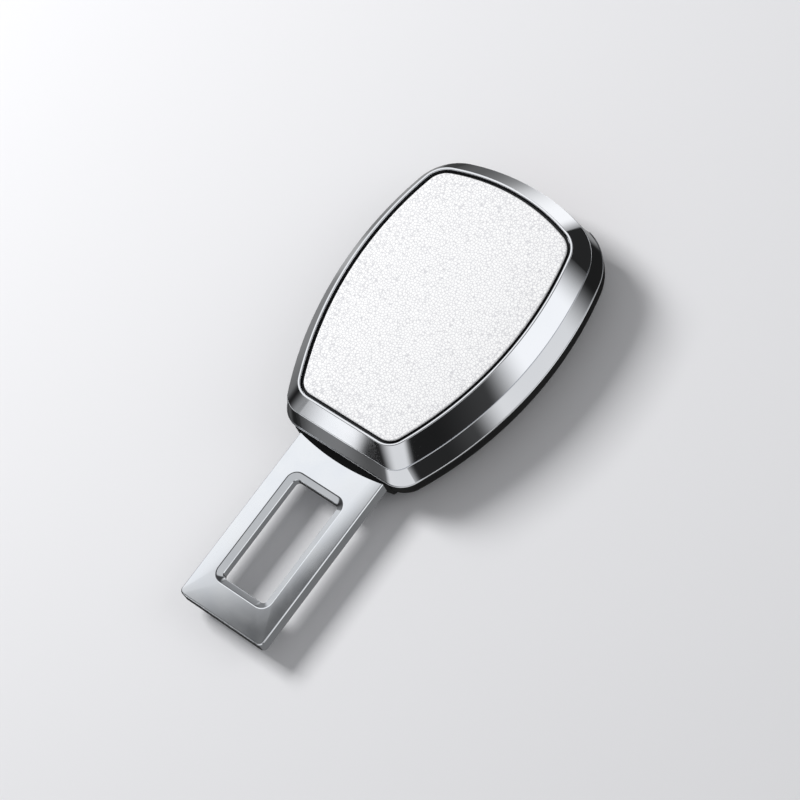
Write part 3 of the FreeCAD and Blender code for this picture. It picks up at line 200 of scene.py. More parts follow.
leather, tree, shader, place = new_material("white_embossed_leather")
bend = add_node(tree, "ShaderNodeTexNoise", {"Vector": place, "Scale": per_metre(BEND_MM), "Detail": 2})
shift = add_node(tree, "ShaderNodeVectorMath", {
    0: bend.outputs["Color"], 1: (-0.5, -0.5, -0.5)}, operation="ADD")
shift = add_node(tree, "ShaderNodeVectorMath", {
    0: shift.outputs["Vector"], "Scale": BEND_BY_MM * MM}, operation="SCALE")
bent = add_node(tree, "ShaderNodeVectorMath", {0: place, 1: shift.outputs["Vector"]}, operation="ADD")
crease = add_node(tree, "ShaderNodeTexVoronoi", {
    "Vector": bent.outputs["Vector"], "Scale": per_metre(GRAIN_MM), "Randomness": 0.9},
    feature="DISTANCE_TO_EDGE")
pebble = add_node(tree, "ShaderNodeMapRange", {
    "Value": crease.outputs["Distance"], "From Min": 0.0, "From Max": 0.2},
    interpolation_type="SMOOTHSTEP").outputs["Result"]
pores = add_node(tree, "ShaderNodeTexNoise", {"Vector": place, "Scale": per_metre(PORE_MM), "Detail": 3})
height = add_node(tree, "ShaderNodeMath", {0: pores.outputs["Fac"], 1: PORE_HEIGHT, 2: pebble},
                  operation="MULTIPLY_ADD").outputs["Value"]
relief = add_node(tree, "ShaderNodeBump", {"Height": height, "Strength": 0.35, "Distance": RELIEF_MM * MM})
tree.links.new(relief.outputs["Normal"], shader.inputs["Normal"])

# %% Leather's colour and gloss
# The ramp colours the creases darker than the pebble tops: painted shade in the creases.
grain_with_painted_crease_shade = add_node(tree, "ShaderNodeValToRGB", {"Fac": pebble},
                stops=[(0.0, "#D3D3D6"), (0.5, "#F2F2F3"), (1.0, "#FAFAFA")])
# Below a height the leather turns black: painted shade that draws the dark gap between panel and rim.
up = add_node(tree, "ShaderNodeSeparateXYZ", {"Vector": place}).outputs["Z"]
above_gap_shade = add_node(tree, "ShaderNodeMapRange", {
    "Value": up, "From Min": GAP_SHADE_TOP * MM, "From Max": (GAP_SHADE_TOP + GAP_SHADE_FADE) * MM}).outputs["Result"]
face = add_node(tree, "ShaderNodeMix", {
    0: above_gap_shade, 6: linear("#08080A"), 7: grain_with_painted_crease_shade.outputs["Color"]}, data_type="RGBA")
tree.links.new(face.outputs[2], shader.inputs["Base Color"])
gloss = add_node(tree, "ShaderNodeMapRange", {"Value": pebble, "To Min": 0.7, "To Max": 0.5})
tree.links.new(gloss.outputs["Result"], shader.inputs["Roughness"])
shader.inputs["IOR"].default_value = 1.47
print("made", leather.name, "with pebbles of", GRAIN_MM, "mm")


# %% [markdown]
# ## Bright steel
# The tongue is stamped steel, tumbled smooth and bright-plated. It is a little duller than the chrome,
# which softens what it mirrors. Fine lines along its length are left from the rolled sheet. The steel
# pieces inside have the same lines under duller finishes: zinc on the frame and the screws, a ground
# pin and drawn spring wire.

# %% Steel
GLOSS_PATCH_MM = 7
ROLLED_SLOWER = 0.03
ROLLED_DEPTH_MM = 0.01


def plated_steel(name, dark, light, low, high, grain_mm=0.25, bump=0.04):
    """Plated sheet steel: cool grey metal, patchy gloss and faint rolling lines along Y."""
    material, tree, shader, place = new_material(name)
    shader.inputs["Metallic"].default_value = 1
    cloud = wear(tree, shader, place, GLOSS_PATCH_MM, low=low, high=high)
    metal = add_node(tree, "ShaderNodeValToRGB", {"Fac": cloud},
                     stops=[(NOISE_LOW, dark), (NOISE_HIGH, light)])
    tree.links.new(metal.outputs["Color"], shader.inputs["Base Color"])
    lines = add_node(tree, "ShaderNodeMapping", {"Vector": place, "Scale": (1, ROLLED_SLOWER, 1)})
    rolled = add_node(tree, "ShaderNodeTexNoise", {
        "Vector": lines.outputs["Vector"], "Scale": per_metre(grain_mm), "Detail": 3})
    relief = add_node(tree, "ShaderNodeBump", {
        "Height": rolled.outputs["Fac"], "Strength": bump, "Distance": ROLLED_DEPTH_MM * MM})
    tree.links.new(relief.outputs["Normal"], shader.inputs["Normal"])
    print("made", material.name)
    return material


tongue_steel = plated_steel("bright_plated_steel", "#DDE1E7", "#E5E8EC", 0.04, 0.07, bump=0.01)
frame_steel = plated_steel("zinc_plated_sheet", "#A5A59C", "#BDBDB6", 0.3, 0.45, bump=0.12)
pin_steel = plated_steel("ground_steel_pin", "#A8A9AB", "#BEBFC1", 0.2, 0.3, grain_mm=0.15)
spring_steel = plated_steel("drawn_spring_wire", "#7E8084", "#9A9CA0", 0.25, 0.4, grain_mm=0.1)
screw_steel = plated_steel("zinc_plated_screw", "#9A9B9C", "#B4B5B6", 0.25, 0.4, grain_mm=0.2)


# %% [markdown]
# ## Moulded plastics
# The black parts are moulded ABS with a fine spark-eroded texture, which breaks the gloss into a soft
# sheen. The button is the same plastic in red with a smoother face. The slider is pale acetal, and the
# inner housing is nylon with glass fibres, which leave it a little streaky.

# %% Plastics
PLASTIC_IOR = 1.53
COLOUR_DRIFT_MM = 12


def moulded_plastic(name, dark, light, low, high, texture_mm, bump, shine=0.5):
    """Moulded plastic with a slight colour drift, a moulded texture and uneven gloss."""
    material, tree, shader, place = new_material(name)
    texture = wear(tree, shader, place, texture_mm, low=low, high=high, bump=bump)
    drift = add_node(tree, "ShaderNodeTexNoise", {
        "Vector": place, "Scale": per_metre(COLOUR_DRIFT_MM), "Detail": 2})
    mixed = add_node(tree, "ShaderNodeMath", {0: texture, 1: 0.35, 2: drift.outputs["Fac"]},
                     operation="MULTIPLY_ADD")
    colour = add_node(tree, "ShaderNodeValToRGB", {"Fac": mixed.outputs["Value"]},
                      stops=[(0.4, dark), (0.9, light)])
    tree.links.new(colour.outputs["Color"], shader.inputs["Base Color"])
    shader.inputs["IOR"].default_value = PLASTIC_IOR
    shader.inputs["Specular IOR Level"].default_value = shine
    print("made", material.name)
    return material


black_abs = moulded_plastic("black_textured_abs", "#050506", "#0A0A0B", 0.42, 0.6, 0.3, 0.35,
                            shine=0.12)
housing_nylon = moulded_plastic("glass_filled_nylon", "#1B1C1E", "#2A2B2D", 0.5, 0.7, 0.5, 0.3)
board_plastic = moulded_plastic("panel_board_plastic", "#1D1D1F", "#262628", 0.5, 0.6, 0.6, 0.1)
red_abs = moulded_plastic("red_moulded_abs", "#B3150F", "#C41F17", 0.28, 0.4, 0.35, 0.15)
acetal = moulded_plastic("natural_acetal", "#DAD7CB", "#E8E6DC", 0.35, 0.45, 0.8, 0.08)
foam_tape = moulded_plastic("acrylic_foam_tape", "#C2B99B", "#D2CBB2", 0.6, 0.8, 0.3, 0.4)


# %% [markdown]
# ## The head's outline
# Seen from above, the head is a rounded shield: a straight end at the tongue, bowed sides, and a bowed
# end at the mouth. All of it is circular arcs, so one function works out the arcs for any inset and
# spreads the same number of points on them. Rings made this way join point to point into clean quads.
# Each side's arc has its centre SIDE_X past the middle line, out beyond the other side. The mouth is a
# straight-sided opening in the bowed end, MOUTH_HALF to each side, so a point always falls there.

# %% Outline's sizes and arcs
SIDE_ARC, SIDE_X, SIDE_Y = 78.7, 54.5, 4.6
END_ARC, END_Y = 48.9, -15.6
TONGUE_END = -33.3
MOUTH_HALF = 14.4
TONGUE_CORNER, MOUTH_CORNER, LEAST_CORNER = 4.5, 11.3, 1.0
POINTS = {"end": 10, "tongue corner": 12, "side": 48, "mouth corner": 22, "mouth": 14}
FINE_STEPS = 300


def arc(centre, radius, first, last, count):
    """Points on an arc, from the first angle to the last."""
    return [(centre[0] + radius * math.cos(first + (last - first) * i / count),
             centre[1] + radius * math.sin(first + (last - first) * i / count))
            for i in range(count + 1)]


def spread(points, count):
    """The same line with points at even distances."""
    reach = [0.0]
    for a, b in zip(points, points[1:]):
        reach.append(reach[-1] + math.dist(a, b))
    even, j = [], 0
    for i in range(count + 1):
        want = reach[-1] * i / count
        while j < len(points) - 2 and reach[j + 1] < want:
            j += 1
        share = (want - reach[j]) / max(reach[j + 1] - reach[j], 1e-9)
        even.append(tuple(a + (b - a) * share for a, b in zip(points[j], points[j + 1])))
    return even


# %% Outline
def head_ring(tongue_in, side_in, mouth_in, tongue_corner, mouth_corner):
    """The outline in millimetres for three insets and two corner radii, anticlockwise."""
    side_arc, end_arc = SIDE_ARC - side_in, END_ARC - mouth_in
    end_y = TONGUE_END + tongue_in
    corner_y = end_y + tongue_corner
    corner_x = math.sqrt((side_arc - tongue_corner) ** 2 - (corner_y - SIDE_Y) ** 2) - SIDE_X
    reach_side, reach_end = side_arc - mouth_corner, end_arc - mouth_corner
    gap = math.hypot(SIDE_X, END_Y - SIDE_Y)
    along = (reach_side ** 2 - reach_end ** 2 + gap ** 2) / (2 * gap)
    off = math.sqrt(reach_side ** 2 - along ** 2)
    ux, uy = SIDE_X / gap, (END_Y - SIDE_Y) / gap
    far_x, far_y = along * ux - off * uy - SIDE_X, along * uy + off * ux + SIDE_Y
    near = math.atan2(corner_y - SIDE_Y, corner_x + SIDE_X)
    far = math.atan2(far_y - SIDE_Y, far_x + SIDE_X)
    top = math.atan2(far_y - END_Y, far_x)
    mouth_y = END_Y + math.sqrt(end_arc ** 2 - MOUTH_HALF ** 2)
    corner = arc((far_x, far_y), mouth_corner, far, top, FINE_STEPS)
    corner += arc((0, END_Y), end_arc, top, math.pi / 2, 2 * FINE_STEPS)[1:]
    before_mouth = [p for p in corner if p[0] > MOUTH_HALF] + [(MOUTH_HALF, mouth_y)]
    n = POINTS
    half = [(corner_x * i / n["end"], end_y) for i in range(n["end"])]
    half += arc((corner_x, corner_y), tongue_corner, -math.pi / 2, near, n["tongue corner"])[:-1]
    half += arc((-SIDE_X, SIDE_Y), side_arc, near, far, n["side"])[:-1]
    half += spread(before_mouth, n["mouth corner"])[:-1]
    for i in range(n["mouth"] + 1):
        x = MOUTH_HALF * (1 - i / n["mouth"])
        on_end = x <= end_arc * math.cos(top)
        base, radius, mid = (END_Y, end_arc, 0) if on_end else (far_y, mouth_corner, far_x)
        half.append((x, base + math.sqrt(radius ** 2 - (x - mid) ** 2)))
    return half + [(-x, y) for x, y in reversed(half[1:-1])]


def even_ring(inset):
    """The outline with the same inset all round."""
    return head_ring(inset, inset, inset, max(TONGUE_CORNER - inset, LEAST_CORNER), MOUTH_CORNER - inset)


# %% Opening for the panel
OPENING_TONGUE, OPENING_SIDE, OPENING_MOUTH = 3.15, 3.7, 4.25
OPENING_TONGUE_CORNER, OPENING_MOUTH_CORNER = 4.3, 5.6


def opening_ring(inset):
    """The outline of the opening that the panel sits in."""
    return head_ring(OPENING_TONGUE + inset, OPENING_SIDE + inset, OPENING_MOUTH + inset,
                     OPENING_TONGUE_CORNER - inset, OPENING_MOUTH_CORNER - inset)


print("outline has", len(even_ring(0)), "points")


# %% [markdown]
# ## Opening a piece by hand
# Every operator works on what is selected. So each step first deselects everything, makes one piece the
# active one and opens it in edit mode.

# %% Edit helpers
def deselect():
    if bpy.context.object and bpy.context.object.mode == "EDIT":
        bpy.ops.object.mode_set(mode="OBJECT")
    bpy.ops.object.select_all(action="DESELECT")


def activate(piece):
    deselect()
    bpy.context.view_layer.objects.active = piece
    piece.select_set(True)


def edit(piece, mode="VERT"):
    """Opens a piece in edit mode with nothing selected, and gives its bmesh."""
    activate(piece)
    bpy.ops.object.mode_set(mode="EDIT")
    bpy.ops.mesh.select_mode(type=mode)
    bpy.ops.mesh.select_all(action="DESELECT")
    return bmesh.from_edit_mesh(piece.data)


def close_edit(piece):
    bpy.ops.object.mode_set(mode="OBJECT")
    piece.data.update()


# %% [markdown]
# ## Piling up rings
# Each outside piece starts as a circle primitive with one vertex per outline point. Its edge loop is
# extruded again and again, and each new loop is laid on the next ring. The last loop is closed with a
# face. A rounded edge is a few rings on a small arc, which is what catches the light on a real edge.

# %% Ring helper
# In metres. Each ring is laid in its place at once, so these only hold its points apart till then.
LOOSE_RADIUS, LOOSE_LIFT = 0.02, 0.05


def stack(name, rings, caps=(True, True)):
    """A piece from a pile of rings, each a list of x, y and a height, all in millimetres."""
    deselect()
    count = len(rings[0][0])
    bpy.ops.mesh.primitive_circle_add(vertices=count, radius=LOOSE_RADIUS)
    piece = bpy.context.object
    piece.name = piece.data.name = name
    points, z = rings[0]
    for vertex, (x, y) in zip(piece.data.vertices, points):
        vertex.co = Vector((x, y, z)) * MM
    edit(piece)
    bpy.ops.mesh.select_all(action="SELECT")
    if caps[0]:
        bpy.ops.mesh.edge_face_add()
        bpy.ops.mesh.select_all(action="DESELECT")
        shape = bmesh.from_edit_mesh(piece.data)
        for edge in shape.edges:
            edge.select_set(True)
    ring = list(range(count))
    for points, z in rings[1:]:
        bpy.ops.mesh.extrude_edges_move(TRANSFORM_OT_translate={"value": (0, 0, LOOSE_LIFT)})
        shape = bmesh.from_edit_mesh(piece.data)
        above = {}
        for vertex in shape.verts:
            if vertex.select:
                below = next(edge.other_vert(vertex) for edge in vertex.link_edges
                             if not edge.other_vert(vertex).select)
                above[below.index] = vertex
        loop = [above[index] for index in ring]
        for vertex, (x, y) in zip(loop, points):
            vertex.co = Vector((x, y, z)) * MM
        shape.verts.index_update()
        ring = [vertex.index for vertex in loop]
        bmesh.update_edit_mesh(piece.data)
    if caps[1]:
        bpy.ops.mesh.edge_face_add()
    close_edit(piece)
    return piece


# %% [markdown]
# ## Cleaning and cutting
# Doubles are merged and the faces turned outwards before a piece is shaded. Smooth shading alone would
# round off the look of wide flat faces, so the normals are weighted by area: a wide face then mirrors as
# a flat one, and the bend shows only on the narrow rings. Notches and holes are Booleans.

# %% Cleaning and cutting helpers
MERGE_MM = 0.002


def outwards(piece):
    """Merges doubles and turns all faces outwards."""
    edit(piece)
    bpy.ops.mesh.select_all(action="SELECT")
    bpy.ops.mesh.remove_doubles(threshold=MERGE_MM * MM)
    bpy.ops.mesh.normals_make_consistent(inside=False)
    close_edit(piece)


def apply_modifiers(piece):
    activate(piece)
    for modifier in list(piece.modifiers):
        bpy.ops.object.modifier_apply(modifier=modifier.name)


def smooth(piece, degrees):
    """Smooth shading up to an angle, with normals weighted by area."""
    activate(piece)
    bpy.ops.object.shade_smooth_by_angle(angle=math.radians(degrees))
    weighted = piece.modifiers.new("weighted", "WEIGHTED_NORMAL")
    weighted.keep_sharp = True
    weighted.weight = 100
    apply_modifiers(piece)


def carve(piece, cutter):
    """Takes the cutter's shape out of the piece, and removes the cutter."""
    modifier = piece.modifiers.new("carve", "BOOLEAN")
    modifier.operation = "DIFFERENCE"
    modifier.solver = "EXACT"
    modifier.object = cutter
    apply_modifiers(piece)
    bpy.data.objects.remove(cutter)


def block(low, high):
    """A box cutter between two corners, in millimetres."""
    deselect()
    bpy.ops.mesh.primitive_cube_add(size=1)
    cutter = bpy.context.object
    for vertex in cutter.data.vertices:
        vertex.co = Vector([(a + b) / 2 + (b - a) * c for a, b, c in zip(low, high, vertex.co)]) * MM
    return cutter


def drill(x, y, radius, top):
    """A round cutter from 1 mm below the back up to a height, in millimetres."""
    deselect()
    bpy.ops.mesh.primitive_cylinder_add(vertices=48, radius=radius * MM, depth=(top + 1) * MM,
                                        location=(x * MM, y * MM, (top - 1) / 2 * MM))
    bpy.ops.object.transform_apply(location=True, rotation=True, scale=True)
    return bpy.context.object


def finish_piece(piece, material, slot, body, *nodes):
    """Gives a piece its material and the CAD nodes it stands for."""
    piece.data.materials.clear()
    piece.data.materials.append(material)
    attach(piece, body)
    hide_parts(*nodes)
    size = [round((b - a) / MM, 1) for a, b in zip(*(
        [f(v.co[i] for v in piece.data.vertices) for i in range(3)] for f in (min, max)))]
    print(piece.name, "is", size, "mm and has", len(piece.data.polygons), "faces")


# %% [markdown]
# ## Chrome shell
# The shell is one casting: a band that leans in a little, a crease, a wide bevel up to the rim, and a
# shallow recess for the panel. Its wall is hollow below. The pile of rings runs from the ceiling inside,
# down the inner wall, up the outside and down again into the recess. Three details are finer than the
# CAD model's: a bead along the lower edge, a fine groove in the crease, and a rim with a narrow flat
# land. Each one draws a thin line of light or dark round the head. The screw posts inside the CAD
# shell are left out here, because the closed head hides them.

# %% Rings of the shell's wall
SPLIT, CREASE, RIM = 8.2, 13.6, 18.1
SHELF, CEILING = 16.0, 15.0
OPENING_TOP = 12.45
FLARE, WALL = 1.4, 1.6
CEILING_IN = 3.85
SLOPE_IN, SLOPE_FOOT = 1.8, 13.4


def band_inset(z):
    """How far the band has moved in at a height."""
    return -FLARE * (CREASE - z) / (CREASE - SPLIT)


inner_rings = [
    (even_ring(CEILING_IN), CEILING), (even_ring(SLOPE_IN), SLOPE_FOOT),
    (even_ring(band_inset(OPENING_TOP) + WALL), OPENING_TOP), (even_ring(band_inset(SPLIT) + WALL), SPLIT),
]

# %% Rings of the bead, the band and the crease
BEAD, BEAD_SINK, BEAD_FOOT = 0.14, 0.02, 0.1
GROOVE, GROOVE_IN = 0.16, 0.07

bead_rings = [(even_ring(-FLARE + BEAD_FOOT), SPLIT)]
for i in range(7):
    lean = math.radians(-60 + 150 * i / 6)
    inset = BEAD_SINK - FLARE - BEAD * math.cos(lean)
    bead_rings.append((even_ring(inset), SPLIT + BEAD + BEAD * math.sin(lean)))
band_heights = (SPLIT + 2 * BEAD + BEAD_SINK, OPENING_TOP, CREASE - 0.2)
band_rings = [(even_ring(band_inset(z)), z) for z in band_heights]
crease_steps = [
    (-0.02, -0.08), (GROOVE_IN, 0.0), (GROOVE_IN + GROOVE, 0.0), (GROOVE_IN + GROOVE, 0.1), (0.13, 0.16),
]
crease_rings = [(even_ring(inset), CREASE + above) for inset, above in crease_steps]
print("bead, band and crease have", len(bead_rings + band_rings + crease_rings), "rings")

# %% Rings of the rim
RIM_ROLL, RIM_LAND = 0.15, 0.3

rim_rings = []
for first, last, steps, land in ((40, 90, 5, RIM_LAND), (90, 180, 7, 0)):
    for i in range(steps + 1):
        lean = math.radians(first + (last - first) * i / steps)
        inset = -land - RIM_ROLL * (1 + math.cos(lean))
        rim_rings.append((opening_ring(inset), RIM - RIM_ROLL * (1 - math.sin(lean))))
print("the rim has", len(rim_rings), "rings")

# %% Shell
MOUTH_FROM = 25

shell = stack("chrome_shell", inner_rings + bead_rings + band_rings + crease_rings + rim_rings
              + [(opening_ring(0.0), SHELF)])
shape = edit(shell, "FACE")
for face in shape.faces:
    middle = face.calc_center_median() / MM
    if middle.y > MOUTH_FROM and abs(middle.x) < MOUTH_HALF and middle.z < OPENING_TOP - 0.01:
        face.select_set(True)
bpy.ops.mesh.delete(type="FACE")
bpy.ops.mesh.select_mode(type="EDGE")
shape = bmesh.from_edit_mesh(shell.data)
for edge in shape.edges:
    if edge.is_boundary:
        edge.select_set(True)
bpy.ops.mesh.edge_face_add()
close_edit(shell)
outwards(shell)
smooth(shell, 28)
finish_piece(shell, chrome, "chrome", "housing", "bezel_shell")


# %% [markdown]
# ## Leather panel
# The leather is glued over a thin foam on a board and turned under at the edge. It lies flat with a
# slight crown, and its edge rolls over by 0.4 mm. Rings that shrink towards the middle carry the crown.

# %% Leather panel
PANEL_GAP = 0.66
LEATHER_BOTTOM, LEATHER_TOP = 17.1, 18.0
LEATHER_ROLL, LEATHER_CROWN = 0.4, 0.28
TURNED_IN, TURNED_UP = 0.3, 0.15
PANEL_X, PANEL_Y = 0.0, -0.5
CROWN_RINGS = 25

edge_rings = [
    (opening_ring(PANEL_GAP + TURNED_IN), LEATHER_BOTTOM),
    (opening_ring(PANEL_GAP), LEATHER_BOTTOM + TURNED_UP),
]
for i in range(7):
    lean = math.pi / 2 * i / 6
    inset = PANEL_GAP + LEATHER_ROLL * (1 - math.cos(lean))
    edge_rings.append((opening_ring(inset), LEATHER_TOP - LEATHER_ROLL * (1 - math.sin(lean))))
crown_rings = []
for i in range(1, CROWN_RINGS):
    share = 1 - i / CROWN_RINGS
    crown = LEATHER_TOP + LEATHER_CROWN * (1 - share ** 4) * (1 - 0.25 * share)
    ring = [(PANEL_X + (x - PANEL_X) * share, PANEL_Y + (y - PANEL_Y) * share)
            for x, y in edge_rings[-1][0]]
    crown_rings.append((ring, crown))
panel = stack("leather_insert", edge_rings + crown_rings)
outwards(panel)
smooth(panel, 60)
finish_piece(panel, leather, "leather", "housing", "leather_panel")


# %% [markdown]
# ## Steel tongue
# The tongue is a stamped plate. A slope is coined round its window, so that it slides over the car's
# latch without scraping. Outer edge and window are rounded rectangles with the same number of points.
# The pile of rings goes round the plate's section: up the outer side, over the rounded edge, across the
# face, down the slope and the window's wall, and back below.

# %% Tongue's outlines
TONGUE_LOW, TONGUE_TOP = 4.0, 7.6
TIP, TONGUE_BACK, TONGUE_HALF = -76.3, -12.0, 11
TIP_CORNER, BACK_CORNER = 1.2, 0.6
WINDOW_FROM_TIP, WINDOW_TO_TIP, WINDOW_HALF, WINDOW_CORNER = 7.6, 32.7, 5.75, 1.0


def rounded_box(x0, x1, y0, y1, radii, side=12, corner=10):
    """A rounded rectangle, anticlockwise from the middle of its low side. Radii: low y, high y."""
    low, high = radii
    mid = (x0 + x1) / 2
    half = [(mid + (x1 - low - mid) * i / side, y0) for i in range(side)]
    half += arc((x1 - low, y0 + low), low, -math.pi / 2, 0, corner)[:-1]
    half += [(x1, y0 + low + (y1 - high - y0 - low) * i / (2 * side)) for i in range(2 * side)]
    half += arc((x1 - high, y1 - high), high, 0, math.pi / 2, corner)[:-1]
    half += [(x1 - high + (mid - x1 + high) * i / side, y1) for i in range(side + 1)]
    return half + [(2 * mid - x, y) for x, y in reversed(half[1:-1])]


def plate_ring(inset):
    return rounded_box(-TONGUE_HALF + inset, TONGUE_HALF - inset, TIP + inset, TONGUE_BACK - inset,
                       (TIP_CORNER - inset, BACK_CORNER - inset))


def window_ring(grow):
    return rounded_box(-WINDOW_HALF - grow, WINDOW_HALF + grow,
                       TIP + WINDOW_FROM_TIP - grow, TIP + WINDOW_TO_TIP + grow,
                       (WINDOW_CORNER + grow, WINDOW_CORNER + grow))


print("plate and window have", len(plate_ring(0)), "and", len(window_ring(0)), "points")

# %% Tongue
PLATE_ROUND = 0.3
COIN_WIDTH, COIN_DEPTH = 1.4, 0.7
TOP_ROUND, FOOT_ROUND = 0.7, 0.3

upper = []
for i in range(6):
    lean = math.pi / 2 * i / 5
    upper.append((plate_ring(PLATE_ROUND * (1 - math.cos(lean))),
                  TONGUE_TOP - PLATE_ROUND * (1 - math.sin(lean))))
tilt = math.atan2(COIN_DEPTH, COIN_WIDTH)
reach = TOP_ROUND * math.tan(tilt / 2)
for i in range(5):
    lean = tilt * i / 4
    upper.append((window_ring(COIN_WIDTH + reach - TOP_ROUND * math.sin(lean)),
                  TONGUE_TOP - TOP_ROUND * (1 - math.cos(lean))))
turn_in = FOOT_ROUND * math.tan((math.pi / 2 - tilt) / 2)
for i in range(6):
    lean = tilt + (math.pi / 2 - tilt) * i / 5
    upper.append((window_ring(FOOT_ROUND * (1 - math.sin(lean))),
                  TONGUE_TOP - COIN_DEPTH - turn_in + FOOT_ROUND * math.cos(lean)))
lower = [(ring, TONGUE_LOW + TONGUE_TOP - z) for ring, z in reversed(upper)]
tongue = stack("steel_tongue", upper + lower + upper[:1], caps=(False, False))
outwards(tongue)
smooth(tongue, 30)
finish_piece(tongue, tongue_steel, "tongue_steel", "housing", "tongue_plate")
tongue.visible_glossy = False


# %% [markdown]
# ## Black back cover
# The cover is a shallow moulded dish. Its wall stands straight under the chrome and then leans in
# towards the back, so the head looks thinner than it is. The notches for tongue and mouth and the
# screw holes are carved with Booleans, because a dull black surface hides their seams. The bosses,
# pads and pegs inside the CAD cover are left out here, because the closed head hides them.

# %% Cover
COVER_IN, COVER_WALL = -1.3, 1.7
BACK_IN, BACK_ROLL = 2.9, 1.2
SHOULDER, SHOULDER_TOP = 3.0, 5.6
DISH_IN, DISH_FLOOR, DISH_WALL_FOOT = 1.95, 1.8, 4.6
WALL_LEAN = 55

cover_rings = [(even_ring(BACK_IN), 0.0)]
for i in range(1, 7):
    lean = math.radians(WALL_LEAN) * i / 6
    cover_rings.append((even_ring(BACK_IN - BACK_ROLL * math.sin(lean)), BACK_ROLL * (1 - math.cos(lean))))
for i in range(9):
    lean = math.radians(90 - WALL_LEAN) * (1 - i / 8)
    inset = COVER_IN + SHOULDER * (1 - math.cos(lean))
    cover_rings.append((even_ring(inset), SHOULDER_TOP - SHOULDER * math.sin(lean)))
cover_rings += [
    (even_ring(COVER_IN), SPLIT), (even_ring(COVER_IN + COVER_WALL), SPLIT),
    (even_ring(COVER_IN + COVER_WALL), DISH_WALL_FOOT),
    (even_ring(COVER_IN + COVER_WALL + DISH_IN), DISH_FLOOR),
]
cover = stack("back_cover_moulding", cover_rings)
outwards(cover)

# %% Notches and screw holes
TONGUE_NOTCH = ((-12.45, -40, 2.65), (12.45, -29.8, 9))
MOUTH_NOTCH = ((-MOUTH_HALF, 26, 3.15), (MOUTH_HALF, 40, 9))
SCREWS = [(19.5, 6.5), (-19.5, 6.5), (14.0, -21.0), (-14.0, -21.0)]
HEAD_HOLE, SHANK_HOLE = (1.8, 4.2), (1.25, 9)

carve(cover, block(*TONGUE_NOTCH))
carve(cover, block(*MOUTH_NOTCH))
for x, y in SCREWS:
    for radius, top in (HEAD_HOLE, SHANK_HOLE):
        carve(cover, drill(x, y, radius, top))
smooth(cover, 32)
finish_piece(cover, black_abs, "black_plastic", "housing", "back_cover")


# %% [markdown]
# ## Springs
# The four springs are wound again as round wire. Each one is a tube along a helix between the ends of
# its CAD box.

# %% Springs
TURN_POINTS = 20
SPRINGS = {
    "button_spring_left": (0.9, 0.18, 7, "Y", "low", "button_slide", 4.5),
    "button_spring_right": (0.9, 0.18, 7, "Y", "low", "button_slide", 4.5),
    "ejector_spring": (1.25, 0.2, 8, "Y", "low", "ejector_slide", 7.5),
    "latch_spring": (1.1, 0.18, 3.5, "Z", "high", "latch_tilt", 1.3),
}


def wind_spring(node, radius, wire, turns, along, fixed, joint, travel):
    """A compression spring in place of its CAD node.

    Radius and wire are the coil's and the wire's radii. Along is its axis, Y or Z. Fixed (whether its low
    or its high end stays), joint and travel (how far the free end goes with the joint) are not used.
    """
    low, high = (Vector(corner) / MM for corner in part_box(node))
    middle = (low + high) / 2
    axis, across = {"Y": (1, (0, 2)), "Z": (2, (0, 1))}[along]
    first, last = low[axis] + wire, high[axis] - wire
    curve = bpy.data.curves.new(node + "_coil", "CURVE")
    curve.dimensions = "3D"
    curve.bevel_depth = wire * MM
    curve.bevel_resolution = 2
    curve.use_fill_caps = True
    line = curve.splines.new("POLY")
    count = int(turns * TURN_POINTS)
    line.points.add(count)
    for i, point in enumerate(line.points):
        share, turned = i / count, 2 * math.pi * turns * i / count
        place = middle.copy()
        place[axis] = first + (last - first) * share
        place[across[0]] += radius * math.cos(turned)
        place[across[1]] += radius * math.sin(turned)
        point.co = (*(place * MM), 1)
    piece = bpy.data.objects.new(node + "_coil", curve)
    bpy.context.scene.collection.objects.link(piece)
    activate(piece)
    bpy.ops.object.convert(target="MESH")
    piece = bpy.context.object
    bpy.ops.object.shade_smooth()
    finish_piece(piece, spring_steel, "spring_steel", "housing", node)
    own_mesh(piece)


for node, spring in SPRINGS.items():
    wind_spring(node, *spring)


# %% [markdown]
# ## Finishes for the pieces that stay as they are
# The pieces inside, and the small ones outside, already have their final shape in the CAD model. They
# only need a finish.

# %% Finishes
FINISHES = {
    "panel_board": board_plastic, "panel_tape": foam_tape, "tongue_collar": black_abs,
    "buckle_frame": frame_steel, "frame_rivets": frame_steel, "latch": frame_steel,
    "latch_pin": pin_steel, "release_button": red_abs, "ejector": acetal, "inner_housing": housing_nylon,
    "mouth_guide": black_abs, "housing_screws": screw_steel,
}
for node, material in FINISHES.items():
    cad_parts[node].data.materials.clear()
    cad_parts[node].data.materials.append(material)
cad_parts["tongue_collar"].visible_glossy = False
print(len(FINISHES), "pieces have their finish")


# %% [markdown]
# ## The room that the metal mirrors
# Polished chrome has no look of its own: a photographer stands white and black cards round it. Here the
# cards are stripes by compass direction, in rows. The bevel leans up and mirrors the upper row. The band
# mirrors the lower one, near the table. A third row fills what is steeply below. A round lamp overhead
# lights the tongue's flat face, and its edge is what makes the tongue fade to grey at the tip. A row is
# the tone that it starts with and its stripes, each written as the direction of its edge, the edge's
# width, both in degrees, and the tone behind it.

